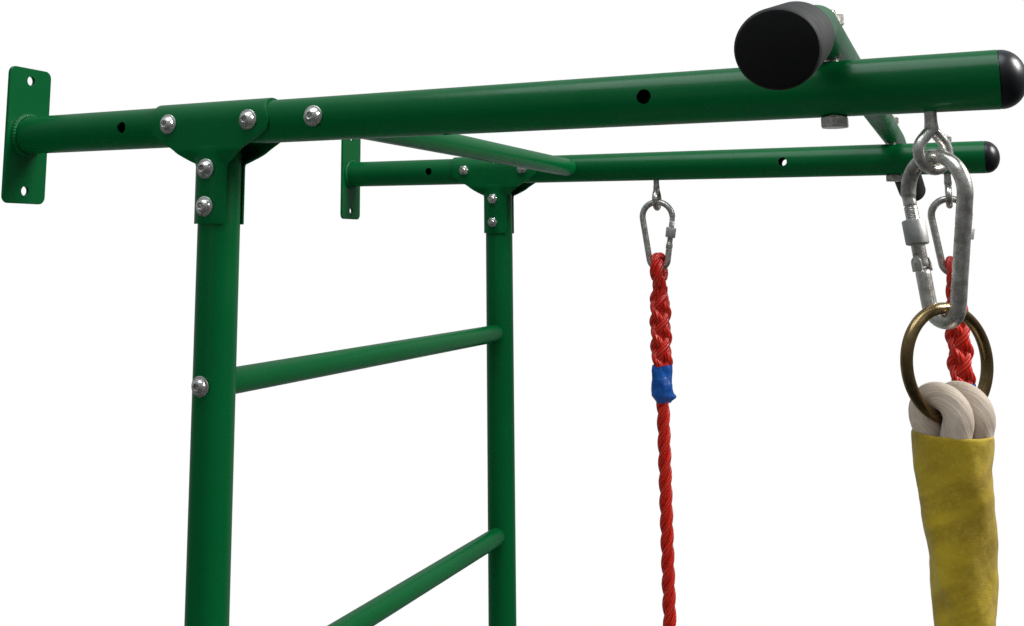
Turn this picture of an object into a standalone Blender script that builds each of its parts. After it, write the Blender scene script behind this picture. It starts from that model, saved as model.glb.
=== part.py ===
"""Wall bars with two horizontal arms, a pull-up bar, a climbing rope and gymnastic rings.

Frame: X leaves the wall, Y runs from the near arm to the far arm, Z is up.
The origin is the centre of the near wall plate's back face, on the near arm's axis.
Pieces are drawn with the floor at zero and moved to that origin at the end.
Every size is in metres; MM turns the millimetre values below into metres.
"""
import math

import bmesh
import bpy
from mathutils import Matrix, Vector

MM = 0.001

# Driving dimensions of the frame
ARM_SPACING = 692 * MM
ARM_HEIGHT = 2240 * MM
ARM_END = 908 * MM
ARM_RADIUS = 20 * MM
ARM_WALL = 2 * MM
POST_X = 263.5 * MM
POST_RADIUS = 20 * MM
POST_WALL = 2 * MM
RUNG_COUNT = 7
TOP_RUNG_DROP = 242 * MM
BOTTOM_RUNG_HEIGHT = 285 * MM
RUNG_PITCH = (ARM_HEIGHT - TOP_RUNG_DROP - BOTTOM_RUNG_HEIGHT) / (RUNG_COUNT - 1)
RUNG_RADIUS = 12.5 * MM
RUNG_WALL = 1.5 * MM
RUNG_PLUG = 12 * MM
CROSS_TUBE_X = 380 * MM
CROSS_TUBE_RADIUS = 12.5 * MM
GAP = 0.3 * MM
TUBE_SEGMENTS = 24
RUNG_SEGMENTS = 16
HOLE_SEGMENTS = 6
SCREW_SEGMENTS = 8

# Wall plates and their welds
PLATE_THICKNESS = 4 * MM
PLATE_WIDTH = 58 * MM
PLATE_HEIGHT = 146 * MM
PLATE_CORNER = 8 * MM
PLATE_HOLE_RADIUS = 5.25 * MM
PLATE_HOLE_OFFSET = 59.5 * MM
WELD_LEG = 4.5 * MM

# Arm end caps
CAP_DOME = 16 * MM
CAP_PLUG_LENGTH = 18 * MM
CAP_SKIN = 2.5 * MM

# T brackets that join the arms to the posts
BRACKET_SHEET = 2 * MM
BRACKET_HALF_LENGTH = 67 * MM
BRACKET_EAR_HALF = 15 * MM
BRACKET_EAR_BOTTOM = 95 * MM
BRACKET_FLANK_DROP = 9 * MM
BRACKET_NECK_DROP = 38 * MM
BRACKET_BOLT_OFFSET = 47 * MM
BRACKET_POST_BOLTS = (44 * MM, 79 * MM)

# Feet under the posts
FOOT_RADIUS = 23.5 * MM
FOOT_HEIGHT = 34 * MM
FOOT_SOLE = 7 * MM

# Fasteners: M8 flanged button heads, M8 nuts, M10 hexagon bolts
M8_RADIUS = 4 * MM
M8_HOLE = 5 * MM
M8_FLANGE = 8.9 * MM
M8_DOME = 6.6 * MM
M8_HEAD_HEIGHT = 5.2 * MM
M8_FLANGE_HEIGHT = 1.4 * MM
M8_NUT_FLATS = 13 * MM
M8_NUT_HEIGHT = 6.5 * MM
M8_THREAD_END = 2.5 * MM
M10_RADIUS = 5 * MM
M10_HOLE = 6.2 * MM
M10_FLATS = 17 * MM
M10_HEAD_HEIGHT = 7.5 * MM
M10_NUT_HEIGHT = 8.4 * MM

# Pull-up bar on top of the arms
BAR_END_DISTANCE = 102.5 * MM
BAR_X = ARM_END - BAR_END_DISTANCE
BAR_RADIUS = 12.5 * MM
BAR_WALL = 2 * MM
BAR_OVERHANG = 318 * MM
BAR_BEND_OFFSET = 80 * MM
BAR_BEND_ANGLE = math.radians(13.65)
BAR_BEND_RADIUS = 110 * MM
BAR_ROLL = math.radians(8)
GRIP_LENGTH = 95 * MM
GRIP_RADIUS = 18.8 * MM
GRIP_END_WALL = 5 * MM
GRIP_EDGE = 2.5 * MM

# Spare cross holes in the arms
SPARE_HOLE_TO_BAR = 130.5 * MM
SPARE_HOLES_X = (154 * MM, BAR_X - SPARE_HOLE_TO_BAR)

# Eye bolts
EYE_END_DISTANCE = 42 * MM
EYE_OUTER_X = ARM_END - EYE_END_DISTANCE
EYE_INNER_X = 503 * MM
EYE_WIRE = 3.75 * MM
EYE_WIDTH = 31 * MM
EYE_NECK_RADIUS = 3.9 * MM
EYE_LENGTH = 34 * MM
EYE_SHANK_SHOW = 9 * MM

# Carabiners: total height, width at the top, width at the bottom, wire radius
NEAR_CARABINER = (120 * MM, 58 * MM, 34 * MM, 4.9 * MM)
FAR_CARABINER = (100 * MM, 50 * MM, 34 * MM, 4.2 * MM)
GATE_FROM_TOP = 0.31
GATE_TO_BOTTOM = 0.68
GATE_GAP = 0.4 * MM
GATE_STEP = 0.4 * MM
THREAD_STEP = 0.35 * MM
SLEEVE_LENGTH = 0.14
SLEEVE_WALL = 2.6 * MM
SLEEVE_CLEARANCE = 0.35 * MM
SLEEVE_DROP = 0.085

# Turns of the hanging pieces about the vertical
NEAR_EYE_TURN = math.radians(44)
NEAR_CARABINER_TURN = math.radians(-44)
BRASS_RING_TURN = math.radians(50)
FAR_EYE_TURN = math.radians(90)
FAR_CARABINER_TURN = 0.0

# Climbing rope and its brass ring
BRASS_RING_RADIUS = 35.7 * MM
BRASS_RING_WIRE = 3.8 * MM
ROPE_RADIUS = 15 * MM
ROPE_LOOP_RADIUS = 9.2 * MM
ROPE_LOOP_HALF_SPREAD = 9.4 * MM
ROPE_END_HEIGHT = 260 * MM
COVER_DROP = 8.5 * MM
COVER_LENGTH = 230 * MM
COVER_TAPER_LENGTH = 135 * MM
COVER_TOP_RADIUS = 25.6 * MM
COVER_BOTTOM_RADIUS = 18.5 * MM
COVER_WALL = 1.5 * MM

# Red ropes and gymnastic rings
RED_ROPE_RADIUS = 8.5 * MM
RED_EYE_RADIUS = 7.5 * MM
RED_SPLICE_RADIUS = 13 * MM
RED_SPLICE_LENGTH = 134 * MM
TAPE_LENGTH = 50 * MM
TAPE_WALL = 1 * MM
GYM_RING_TOP = 1480 * MM
GYM_RING_RADIUS = 92 * MM
GYM_RING_WIRE = 13 * MM
GYM_RING_SLACK = 0.95 * MM

NEAR = -1
FAR = 1


def collection(name):
    """Return a new collection linked to the scene."""
    made = bpy.data.collections.new(name)
    bpy.context.scene.collection.children.link(made)
    return made


for old in list(bpy.data.objects):
    bpy.data.objects.remove(old, do_unlink=True)
PART = collection("wall_bars")
CUTTERS = collection("cutters")


def material(name, color, roughness, metallic=0.0):
    """Return a Principled material."""
    made = bpy.data.materials.new(name)
    made.use_nodes = True
    shader = made.node_tree.nodes["Principled BSDF"]
    shader.inputs["Base Color"].default_value = (*color, 1.0)
    shader.inputs["Roughness"].default_value = roughness
    shader.inputs["Metallic"].default_value = metallic
    made.diffuse_color = (*color, 1.0)
    return made


GREEN = material("green_powder_coat", (0.004, 0.09, 0.04), 0.35)
BLACK = material("black_plastic", (0.01, 0.01, 0.012), 0.25)
FOAM = material("black_foam", (0.012, 0.012, 0.013), 0.9)
ZINC = material("zinc_plate", (0.62, 0.62, 0.6), 0.3, 1.0)
BRASS = material("yellow_zinc", (0.45, 0.34, 0.15), 0.3, 1.0)
COTTON = material("cotton_rope", (0.72, 0.64, 0.54), 0.9)
YELLOW = material("yellow_cloth", (0.55, 0.4, 0.03), 0.85)
RED = material("red_rope", (0.65, 0.03, 0.015), 0.6)
BLUE = material("blue_tape", (0.01, 0.06, 0.35), 0.45)
WOOD = material("ring_wood", (0.6, 0.4, 0.2), 0.5)


def side_y(side):
    """Y of the near or the far arm."""
    return side * ARM_SPACING / 2


def side_name(side):
    return "near" if side == NEAR else "far"


def rung_heights():
    top = ARM_HEIGHT - TOP_RUNG_DROP
    return [top - RUNG_PITCH * number for number in range(RUNG_COUNT)]


# Mesh helpers

def turn_to(axis):
    """Rotation that takes +Z to the given direction."""
    return Vector((0, 0, 1)).rotation_difference(Vector(axis)).to_matrix().to_4x4()


def add_cylinder(bm, radius, start, end, segments=24, end_radius=None):
    """Add a closed cylinder or cone between two points."""
    start = Vector(start)
    end = Vector(end)
    span = end - start
    place = Matrix.Translation((start + end) / 2) @ turn_to(span.normalized())
    top = radius if end_radius is None else end_radius
    bmesh.ops.create_cone(bm, cap_ends=True, segments=segments, radius1=radius,
                          radius2=top, depth=span.length, matrix=place)


def add_hexagon(bm, flats, start, end):
    """Add a hexagonal prism with the given width across flats."""
    add_cylinder(bm, flats / math.sqrt(3), start, end, segments=6)


def finish_mesh(name, bm, look, group):
    """Make an object from a bmesh with normals out and round faces smooth."""
    bmesh.ops.recalc_face_normals(bm, faces=bm.faces)
    mesh = bpy.data.meshes.new(name)
    bm.to_mesh(mesh)
    bm.free()
    made = bpy.data.objects.new(name, mesh)
    group.objects.link(made)
    if look is not None:
        mesh.materials.append(look)
        mesh.shade_smooth()
        mesh.set_sharp_from_angle(angle=math.radians(35))
    return made


def part_mesh(name, bm, look):
    return finish_mesh(name, bm, look, PART)


def hide(cutter):
    cutter.hide_render = True
    cutter.display_type = "WIRE"
    return cutter


def cutter_mesh(name, bm):
    """Make a cutter that the build leaves out."""
    return hide(finish_mesh(name, bm, None, CUTTERS))


def as_helper(thing):
    """Move an object into the cutters' collection."""
    PART.objects.unlink(thing)
    CUTTERS.objects.link(thing)
    return hide(thing)


def boolean(thing, other, operation="DIFFERENCE"):
    step = thing.modifiers.new(operation.lower(), "BOOLEAN")
    step.operation = operation
    step.solver = "EXACT"
    step.object = other
    return step


def turned(name, profile, look, segments=24):
    """Turn a profile of (radius, height) points, outer side first from the top, about Z."""
    mesh = bpy.data.meshes.new(name)
    points = [(radius, 0.0, height) for radius, height in profile]
    edges = [(number, number + 1) for number in range(len(points) - 1)]
    if profile[0][0] > 0 and profile[-1][0] > 0:
        edges.append((len(points) - 1, 0))
    mesh.from_pydata(points, edges, [])
    mesh.materials.append(look)
    made = bpy.data.objects.new(name, mesh)
    PART.objects.link(made)
    screw = made.modifiers.new("turn", "SCREW")
    screw.axis = "Z"
    screw.angle = math.tau
    screw.steps = segments
    screw.render_steps = segments
    screw.use_merge_vertices = True
    screw.merge_threshold = 0.00001
    screw.use_smooth_shade = True
    return made


def wire(name, points, radius, look, cyclic=False, resolution=2, radii=None):
    """Make a round wire or tube along points."""
    curve = bpy.data.curves.new(name, "CURVE")
    curve.dimensions = "3D"
    curve.bevel_depth = radius
    curve.bevel_resolution = resolution
    curve.use_fill_caps = not cyclic
    spline = curve.splines.new("POLY")
    spline.points.add(len(points) - 1)
    for number, point in enumerate(points):
        spline.points[number].co = (*point, 1.0)
        if radii is not None:
            spline.points[number].radius = radii[number] / radius
    spline.use_cyclic_u = cyclic
    curve.materials.append(look)
    made = bpy.data.objects.new(name, curve)
    PART.objects.link(made)
    return made


def to_mesh(thing):
    """Turn a curve or a modified object into a welded mesh object of the same name."""
    bpy.context.view_layer.update()
    depsgraph = bpy.context.evaluated_depsgraph_get()
    mesh = bpy.data.meshes.new_from_object(thing.evaluated_get(depsgraph))
    name = thing.name
    place = thing.matrix_world.copy()
    bpy.data.objects.remove(thing, do_unlink=True)
    bm = bmesh.new()
    bm.from_mesh(mesh)
    bmesh.ops.remove_doubles(bm, verts=bm.verts, dist=0.000005)
    bmesh.ops.recalc_face_normals(bm, faces=bm.faces)
    bm.to_mesh(mesh)
    bm.free()
    mesh.name = name
    made = bpy.data.objects.new(name, mesh)
    PART.objects.link(made)
    made.matrix_world = place
    return made


def joined(base, *others):
    """Union helpers onto a base object."""
    for other in others:
        boolean(base, as_helper(other), "UNION")
    return base


def circle_arc(centre, radius, start, end, steps):
    """Points of an arc in the XZ plane, angles from +X towards +Z."""
    return [Vector((centre[0] + radius * math.cos(start + (end - start) * n / steps), 0.0,
                    centre[1] + radius * math.sin(start + (end - start) * n / steps)))
            for n in range(steps + 1)]


# Arms, plates and caps

def arm_holes(side):
    """Cutter with every bolt hole of one arm."""
    bm = bmesh.new()
    y = side_y(side)
    reach = ARM_RADIUS * 1.6
    across = list(SPARE_HOLES_X) + [CROSS_TUBE_X]
    across += [POST_X - BRACKET_BOLT_OFFSET, POST_X + BRACKET_BOLT_OFFSET]
    for x in across:
        add_cylinder(bm, M8_HOLE, (x, y - reach, ARM_HEIGHT), (x, y + reach, ARM_HEIGHT),
                     HOLE_SEGMENTS)
    add_cylinder(bm, M10_HOLE, (BAR_X, y, ARM_HEIGHT - reach), (BAR_X, y, ARM_HEIGHT + reach),
                 HOLE_SEGMENTS)
    through_top = reach if side == FAR else 0.0
    for x, top in ((EYE_OUTER_X, through_top), (EYE_INNER_X, 0.0)):
        add_cylinder(bm, M8_HOLE, (x, y, ARM_HEIGHT - reach), (x, y, ARM_HEIGHT + top),
                     HOLE_SEGMENTS)
    return cutter_mesh(side_name(side) + "_arm_holes", bm)


def open_tube(name, radius, wall, start, end, segments, look):
    """Make a straight tube as an open sleeve with its wall turned inwards."""
    bm = bmesh.new()
    start = Vector(start)
    end = Vector(end)
    span = end - start
    place = Matrix.Translation((start + end) / 2) @ turn_to(span.normalized())
    bmesh.ops.create_cone(bm, cap_ends=False, segments=segments, radius1=radius,
                          radius2=radius, depth=span.length, matrix=place)
    made = part_mesh(name, bm, look)
    shell = made.modifiers.new("wall", "SOLIDIFY")
    shell.thickness = wall
    shell.offset = -1.0
    shell.use_even_offset = True
    return made


def make_arm(side):
    y = side_y(side)
    arm = open_tube(side_name(side) + "_arm", ARM_RADIUS, ARM_WALL,
                    (PLATE_THICKNESS + GAP, y, ARM_HEIGHT), (ARM_END, y, ARM_HEIGHT), TUBE_SEGMENTS, GREEN)
    boolean(arm, arm_holes(side))
    return arm


def make_wall_plate(side):
    """Rounded plate with two screw holes and the weld bead round the arm."""
    name = side_name(side) + "_wall_plate"
    outline = bpy.data.curves.new(name, "CURVE")
    outline.dimensions = "2D"
    outline.fill_mode = "BOTH"
    outline.extrude = PLATE_THICKNESS / 2
    half_y = PLATE_WIDTH / 2 - PLATE_CORNER
    half_z = PLATE_HEIGHT / 2 - PLATE_CORNER
    corners = ((half_y, half_z, 0), (-half_y, half_z, 1), (-half_y, -half_z, 2), (half_y, -half_z, 3))
    points = []
    for cy, cz, quarter in corners:
        for step in range(4):
            angle = (quarter + step / 3) * math.pi / 2
            points.append((cy + PLATE_CORNER * math.cos(angle), cz + PLATE_CORNER * math.sin(angle)))
    loops = [points]
    for sign in (1, -1):
        loops.append([(PLATE_HOLE_RADIUS * math.cos(math.tau * n / 12),
                       sign * PLATE_HOLE_OFFSET + PLATE_HOLE_RADIUS * math.sin(math.tau * n / 12))
                      for n in range(12)])
    for loop in loops:
        spline = outline.splines.new("POLY")
        spline.points.add(len(loop) - 1)
        for number, (a, b) in enumerate(loop):
            spline.points[number].co = (a, b, 0.0, 1.0)
        spline.use_cyclic_u = True
    outline.materials.append(GREEN)
    plate = bpy.data.objects.new(name, outline)
    PART.objects.link(plate)
    plate.rotation_euler = (math.pi / 2, 0.0, math.pi / 2)
    plate.location = (PLATE_THICKNESS / 2, side_y(side), ARM_HEIGHT)
    plate = to_mesh(plate)
    inner = ARM_RADIUS + GAP
    weld = turned(name + "_weld", [(inner + WELD_LEG * 0.4, WELD_LEG),
                                   (inner + WELD_LEG, WELD_LEG * 0.4),
                                   (inner + WELD_LEG, -PLATE_THICKNESS / 2),
                                   (inner, -PLATE_THICKNESS / 2),
                                   (inner, WELD_LEG)], GREEN, TUBE_SEGMENTS)
    weld.rotation_euler = (0.0, math.pi / 2, 0.0)
    weld.location = (PLATE_THICKNESS, side_y(side), ARM_HEIGHT)
    return joined(plate, weld)


def make_arm_cap(side):
    """Domed plug whose skirt fits inside the arm."""
    bore = ARM_RADIUS - ARM_WALL - GAP
    profile = []
    for step in range(5):
        angle = math.pi / 2 * (1 - step / 4)
        profile.append((ARM_RADIUS * math.cos(angle), CAP_DOME * math.sin(angle)))
    profile[0] = (0.0, CAP_DOME)
    profile += [(bore, 0.0), (bore - 0.6 * MM, -CAP_PLUG_LENGTH),
                (bore - CAP_SKIN, -CAP_PLUG_LENGTH), (bore - CAP_SKIN, 0.0),
                ((ARM_RADIUS - CAP_SKIN) * 0.6, (CAP_DOME - CAP_SKIN) * 0.75),
                (0.0, CAP_DOME - CAP_SKIN)]
    cap = turned(side_name(side) + "_arm_cap", profile, BLACK, TUBE_SEGMENTS)
    cap.rotation_euler = (0.0, math.pi / 2, 0.0)
    cap.location = (ARM_END + GAP, side_y(side), ARM_HEIGHT)
    return cap


# T brackets

def bracket_outline():
    """Side view of the T bracket, from the arm axis and the post axis."""
    top = ARM_RADIUS + BRACKET_SHEET + 4 * MM
    half = BRACKET_HALF_LENGTH
    ear = BRACKET_EAR_HALF
    right = [(half, top), (half, -BRACKET_FLANK_DROP)]
    corner = Vector((ear, -BRACKET_NECK_DROP))
    slope = (Vector(right[-1]) - corner).normalized()
    blend = 9 * MM
    before = corner + slope * blend
    after = corner + Vector((0.0, -blend))
    for step in range(4):
        t = step / 3
        bend = before * (1 - t) ** 2 + corner * 2 * t * (1 - t) + after * t ** 2
        right.append((bend.x, bend.y))
    right += [(ear, -BRACKET_EAR_BOTTOM)]
    left = [(-x, z) for x, z in reversed(right)]
    return right + left


def make_bracket(side):
    """Sheet steel folded over the arm, with an ear on each side of the post."""
    name = side_name(side) + "_t_bracket"
    y = side_y(side)
    middle = ARM_RADIUS + GAP + BRACKET_SHEET / 2
    section = [(-middle, -BRACKET_EAR_BOTTOM - 5 * MM), (-middle, 0.0)]
    section += [(-middle * math.cos(math.pi * n / 14), middle * math.sin(math.pi * n / 14))
                for n in range(1, 14)]
    section += [(middle, 0.0), (middle, -BRACKET_EAR_BOTTOM - 5 * MM)]
    reach = BRACKET_HALF_LENGTH + 5 * MM
    bm = bmesh.new()
    rows = [[bm.verts.new((POST_X + end, y + sy, ARM_HEIGHT + sz)) for sy, sz in section]
            for end in (-reach, reach)]
    for n in range(len(section) - 1):
        bm.faces.new((rows[0][n], rows[1][n], rows[1][n + 1], rows[0][n + 1]))
    bracket = part_mesh(name, bm, GREEN)
    fold = bracket.modifiers.new("sheet", "SOLIDIFY")
    fold.thickness = BRACKET_SHEET
    fold.offset = 0.0
    fold.use_even_offset = True
    keep = bmesh.new()
    depth = ARM_RADIUS * 3
    front = [keep.verts.new((POST_X + x, y - depth, ARM_HEIGHT + z)) for x, z in bracket_outline()]
    face = keep.faces.new(front)
    grown = bmesh.ops.extrude_face_region(keep, geom=[face])
    moved = [item for item in grown["geom"] if isinstance(item, bmesh.types.BMVert)]
    bmesh.ops.translate(keep, verts=moved, vec=(0, 2 * depth, 0))
    boolean(bracket, cutter_mesh(name + "_outline", keep), "INTERSECT")
    holes = bmesh.new()
    for offset in (-BRACKET_BOLT_OFFSET, BRACKET_BOLT_OFFSET):
        x = POST_X + offset
        add_cylinder(holes, M8_HOLE, (x, y - depth, ARM_HEIGHT), (x, y + depth, ARM_HEIGHT),
                     HOLE_SEGMENTS)
    for drop in BRACKET_POST_BOLTS:
        z = ARM_HEIGHT - drop
        add_cylinder(holes, M8_HOLE, (POST_X, y - depth, z), (POST_X, y + depth, z),
                     HOLE_SEGMENTS)
    boolean(bracket, cutter_mesh(name + "_holes", holes))
    return bracket


# Posts, feet and rungs

def make_post(side):
    y = side_y(side)
    post = open_tube(side_name(side) + "_post", POST_RADIUS, POST_WALL,
                     (POST_X, y, FOOT_SOLE + GAP), (POST_X, y, ARM_HEIGHT - ARM_RADIUS - GAP),
                     TUBE_SEGMENTS, GREEN)
    bm = bmesh.new()
    reach = POST_RADIUS * 1.6
    heights = rung_heights() + [ARM_HEIGHT - drop for drop in BRACKET_POST_BOLTS]
    for z in heights:
        add_cylinder(bm, M8_HOLE, (POST_X, y - reach, z), (POST_X, y + reach, z), HOLE_SEGMENTS)
    boolean(post, cutter_mesh(side_name(side) + "_post_holes", bm))
    return post


def make_foot(side):
    """Rubber cup that the post stands in."""
    bore = POST_RADIUS + GAP
    rim = FOOT_RADIUS - 1.2 * MM
    profile = [(rim, FOOT_HEIGHT), (FOOT_RADIUS, FOOT_HEIGHT * 0.5), (FOOT_RADIUS + 1.5 * MM, 0.0),
               (0.0, 0.0)]
    foot = turned(side_name(side) + "_foot", [(0.0, FOOT_SOLE), (bore, FOOT_SOLE), (bore, FOOT_HEIGHT)]
                  + profile, BLACK, TUBE_SEGMENTS)
    foot.location = (POST_X, side_y(side), 0.0)
    return foot


def flange_button_profile(seat):
    """Outer side of an M8 flanged button head that looks along +Z and sits at height seat."""
    top = seat + M8_HEAD_HEIGHT
    shoulder = seat + M8_FLANGE_HEIGHT
    return [(0.0, top), (M8_DOME * 0.6, top), (M8_DOME, shoulder), (M8_FLANGE, shoulder - 0.6 * MM),
            (M8_FLANGE, seat)]


def add_profile(bm, profile, place, segments):
    """Turn a closed profile that starts and ends on the axis, and add it at a placement."""
    rings = []
    for radius, height in profile:
        if radius == 0.0:
            rings.append([bm.verts.new(place @ Vector((0, 0, height)))])
            continue
        rings.append([bm.verts.new(place @ Vector((radius * math.cos(math.tau * n / segments),
                                                   radius * math.sin(math.tau * n / segments), height)))
                      for n in range(segments)])
    for upper, lower in zip(rings, rings[1:]):
        for n in range(segments):
            m = (n + 1) % segments
            if len(upper) == 1:
                bm.faces.new((upper[0], lower[n], lower[m]))
            elif len(lower) == 1:
                bm.faces.new((upper[n], lower[0], upper[m]))
            else:
                bm.faces.new((upper[n], lower[n], lower[m], upper[m]))


def bolt_mesh(bm, place, grip, segments=SCREW_SEGMENTS):
    """Add a bolt whose head sits at the placement and whose shank runs down its -Z for grip."""
    profile = flange_button_profile(0.0) + [(M8_RADIUS, 0.0), (M8_RADIUS, -grip), (0.0, -grip)]
    add_profile(bm, profile, place, segments)


def socket_cutter(name, places):
    """Hexagon sockets in the bolt heads."""
    bm = bmesh.new()
    for place in places:
        top = place @ Vector((0, 0, M8_HEAD_HEIGHT + MM))
        bottom = place @ Vector((0, 0, M8_HEAD_HEIGHT - 2.6 * MM))
        add_hexagon(bm, 5 * MM, bottom, top)
    return cutter_mesh(name, bm)


def along_y(x, y, z, direction):
    """Placement whose +Z looks along +Y or -Y."""
    return Matrix.Translation((x, y, z)) @ turn_to((0, direction, 0))


def make_rung(number, z):
    """Round rung, notched to the posts, with the screw that holds each end."""
    name = "rung_%d" % number
    reach = ARM_SPACING / 2 - POST_RADIUS * 0.7
    bm = bmesh.new()
    add_cylinder(bm, RUNG_RADIUS, (POST_X, -reach, z), (POST_X, reach, z), RUNG_SEGMENTS)
    rung = part_mesh(name, bm, GREEN)
    notch = bmesh.new()
    for side in (NEAR, FAR):
        y = side_y(side)
        add_cylinder(notch, POST_RADIUS + GAP, (POST_X, y, z - 3 * RUNG_RADIUS),
                     (POST_X, y, z + 3 * RUNG_RADIUS), TUBE_SEGMENTS)
    boolean(rung, cutter_mesh(name + "_notch", notch))
    plug = ARM_SPACING / 2 - POST_RADIUS - RUNG_PLUG
    hollow = bmesh.new()
    bore = RUNG_RADIUS - RUNG_WALL
    add_cylinder(hollow, bore, (POST_X, -plug, z), (POST_X, plug, z), 12)
    boolean(rung, cutter_mesh(name + "_bore", hollow))
    vent = bmesh.new()
    low = z - bore * 0.68
    add_cylinder(vent, 2 * MM, (POST_X, -reach, low), (POST_X, -plug + 2 * MM, low), 4)
    boolean(rung, cutter_mesh(name + "_vent", vent))
    screws = bmesh.new()
    head = ARM_SPACING / 2 + POST_RADIUS + GAP
    grip = head - plug - 4 * MM
    places = [along_y(POST_X, side * head, z, side) for side in (NEAR, FAR)]
    for place in places:
        bolt_mesh(screws, place, grip, SCREW_SEGMENTS)
    fixings = part_mesh(name + "_screws", screws, ZINC)
    joined(rung, fixings)
    return rung


def make_cross_tube():
    """Tube between the arms with a drilled plug in each end."""
    reach = ARM_SPACING / 2 - ARM_RADIUS * 0.7
    z = ARM_HEIGHT
    bm = bmesh.new()
    add_cylinder(bm, CROSS_TUBE_RADIUS, (CROSS_TUBE_X, -reach, z), (CROSS_TUBE_X, reach, z),
                 RUNG_SEGMENTS)
    tube = part_mesh("cross_tube", bm, GREEN)
    cut = bmesh.new()
    for side in (NEAR, FAR):
        y = side_y(side)
        span = 3 * CROSS_TUBE_RADIUS
        add_cylinder(cut, ARM_RADIUS + GAP, (CROSS_TUBE_X - span, y, z), (CROSS_TUBE_X + span, y, z),
                     TUBE_SEGMENTS)
    boolean(tube, cutter_mesh("cross_tube_notch", cut))
    plug = ARM_SPACING / 2 - ARM_RADIUS - RUNG_PLUG
    bore = bmesh.new()
    add_cylinder(bore, CROSS_TUBE_RADIUS - RUNG_WALL, (CROSS_TUBE_X, -plug, z), (CROSS_TUBE_X, plug, z),
                 12)
    boolean(tube, cutter_mesh("cross_tube_bore", bore))
    thread = bmesh.new()
    add_cylinder(thread, M8_RADIUS + GAP, (CROSS_TUBE_X, -reach - MM, z), (CROSS_TUBE_X, reach + MM, z), 12)
    boolean(tube, cutter_mesh("cross_tube_thread", thread))
    return tube


def make_cross_tube_bolt(side):
    head = side * (ARM_SPACING / 2 + ARM_RADIUS + GAP)
    place = along_y(CROSS_TUBE_X, head, ARM_HEIGHT, side)
    name = side_name(side) + "_cross_tube_bolt"
    bm = bmesh.new()
    bolt_mesh(bm, place, 2 * ARM_RADIUS + RUNG_PLUG + 6 * MM)
    bolt = part_mesh(name, bm, ZINC)
    boolean(bolt, socket_cutter(name + "_socket", [place]))
    return bolt


def make_through_bolt(name, side, x, z, half):
    """Bolt from the outer side with its nut on the inner side; half is the clamped half width."""
    outer = side_y(side) + side * (half + GAP)
    inner = side_y(side) - side * (half + GAP)
    place = along_y(x, outer, z, side)
    bm = bmesh.new()
    bolt_mesh(bm, place, 2 * (half + GAP) + M8_NUT_HEIGHT + M8_THREAD_END)
    bolt = part_mesh(name, bm, ZINC)
    nut = bmesh.new()
    add_hexagon(nut, M8_NUT_FLATS, (x, inner, z), (x, inner - side * M8_NUT_HEIGHT, z))
    joined(bolt, part_mesh(name + "_nut", nut, ZINC))
    boolean(bolt, socket_cutter(name + "_socket", [place]))
    return bolt


def make_bracket_bolts(side):
    half = ARM_RADIUS + GAP + BRACKET_SHEET
    for number, offset in enumerate((-BRACKET_BOLT_OFFSET, BRACKET_BOLT_OFFSET), 1):
        name = "%s_arm_bolt_%d" % (side_name(side), number)
        make_through_bolt(name, side, POST_X + offset, ARM_HEIGHT, half)
    for number, drop in enumerate(BRACKET_POST_BOLTS, 1):
        name = "%s_post_bolt_%d" % (side_name(side), number)
        make_through_bolt(name, side, POST_X, ARM_HEIGHT - drop, half)


# Pull-up bar

def bar_height():
    return ARM_HEIGHT + ARM_RADIUS + BAR_RADIUS + GAP


def bar_point(y, droop):
    """Point on the far half, where the bar is rolled so that its ends lean outward."""
    return Vector((BAR_X + droop * math.sin(BAR_ROLL), y, bar_height() - droop * math.cos(BAR_ROLL)))


def bar_path():
    """Half of the bar's centre line, from the middle to the far end."""
    vertex = ARM_SPACING / 2 + BAR_BEND_OFFSET
    tangent = BAR_BEND_RADIUS * math.tan(BAR_BEND_ANGLE / 2)
    points = [bar_point(0, 0), bar_point(vertex - tangent, 0)]
    for step in range(1, 5):
        angle = BAR_BEND_ANGLE * step / 4
        points.append(bar_point(vertex - tangent + BAR_BEND_RADIUS * math.sin(angle),
                                BAR_BEND_RADIUS * (1 - math.cos(angle))))
    return points


def bar_end(distance_from_end=0.0):
    """Point on the far end's straight run, measured back from the grip's outer face."""
    length = (BAR_OVERHANG - BAR_BEND_OFFSET) / math.cos(BAR_BEND_ANGLE) - distance_from_end
    return bar_point(ARM_SPACING / 2 + BAR_BEND_OFFSET + math.cos(BAR_BEND_ANGLE) * length,
                     math.sin(BAR_BEND_ANGLE) * length)


def mirrored(points):
    return [Vector((p.x, -p.y, p.z)) for p in points]


def make_pull_up_bar():
    """Bent tube with a vertical hole over each arm."""
    half = bar_path() + [bar_end(GRIP_END_WALL + GAP)]
    whole = list(reversed(mirrored(half[1:]))) + half[1:]
    bar = to_mesh(wire("pull_up_bar", whole, BAR_RADIUS, GREEN, resolution=4))
    inner = [Vector(p) for p in whole]
    inner[0] = inner[0] + (inner[0] - inner[1]).normalized() * MM
    inner[-1] = inner[-1] + (inner[-1] - inner[-2]).normalized() * MM
    bore = to_mesh(wire("pull_up_bar_bore", inner, BAR_RADIUS - BAR_WALL, GREEN, resolution=2))
    boolean(bar, as_helper(bore))
    holes = bmesh.new()
    for side in (NEAR, FAR):
        y = side_y(side)
        add_cylinder(holes, M10_HOLE, (BAR_X, y, bar_height() - 2 * BAR_RADIUS),
                     (BAR_X, y, bar_height() + 2 * BAR_RADIUS), HOLE_SEGMENTS)
    boolean(bar, cutter_mesh("pull_up_bar_holes", holes))
    return bar


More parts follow.
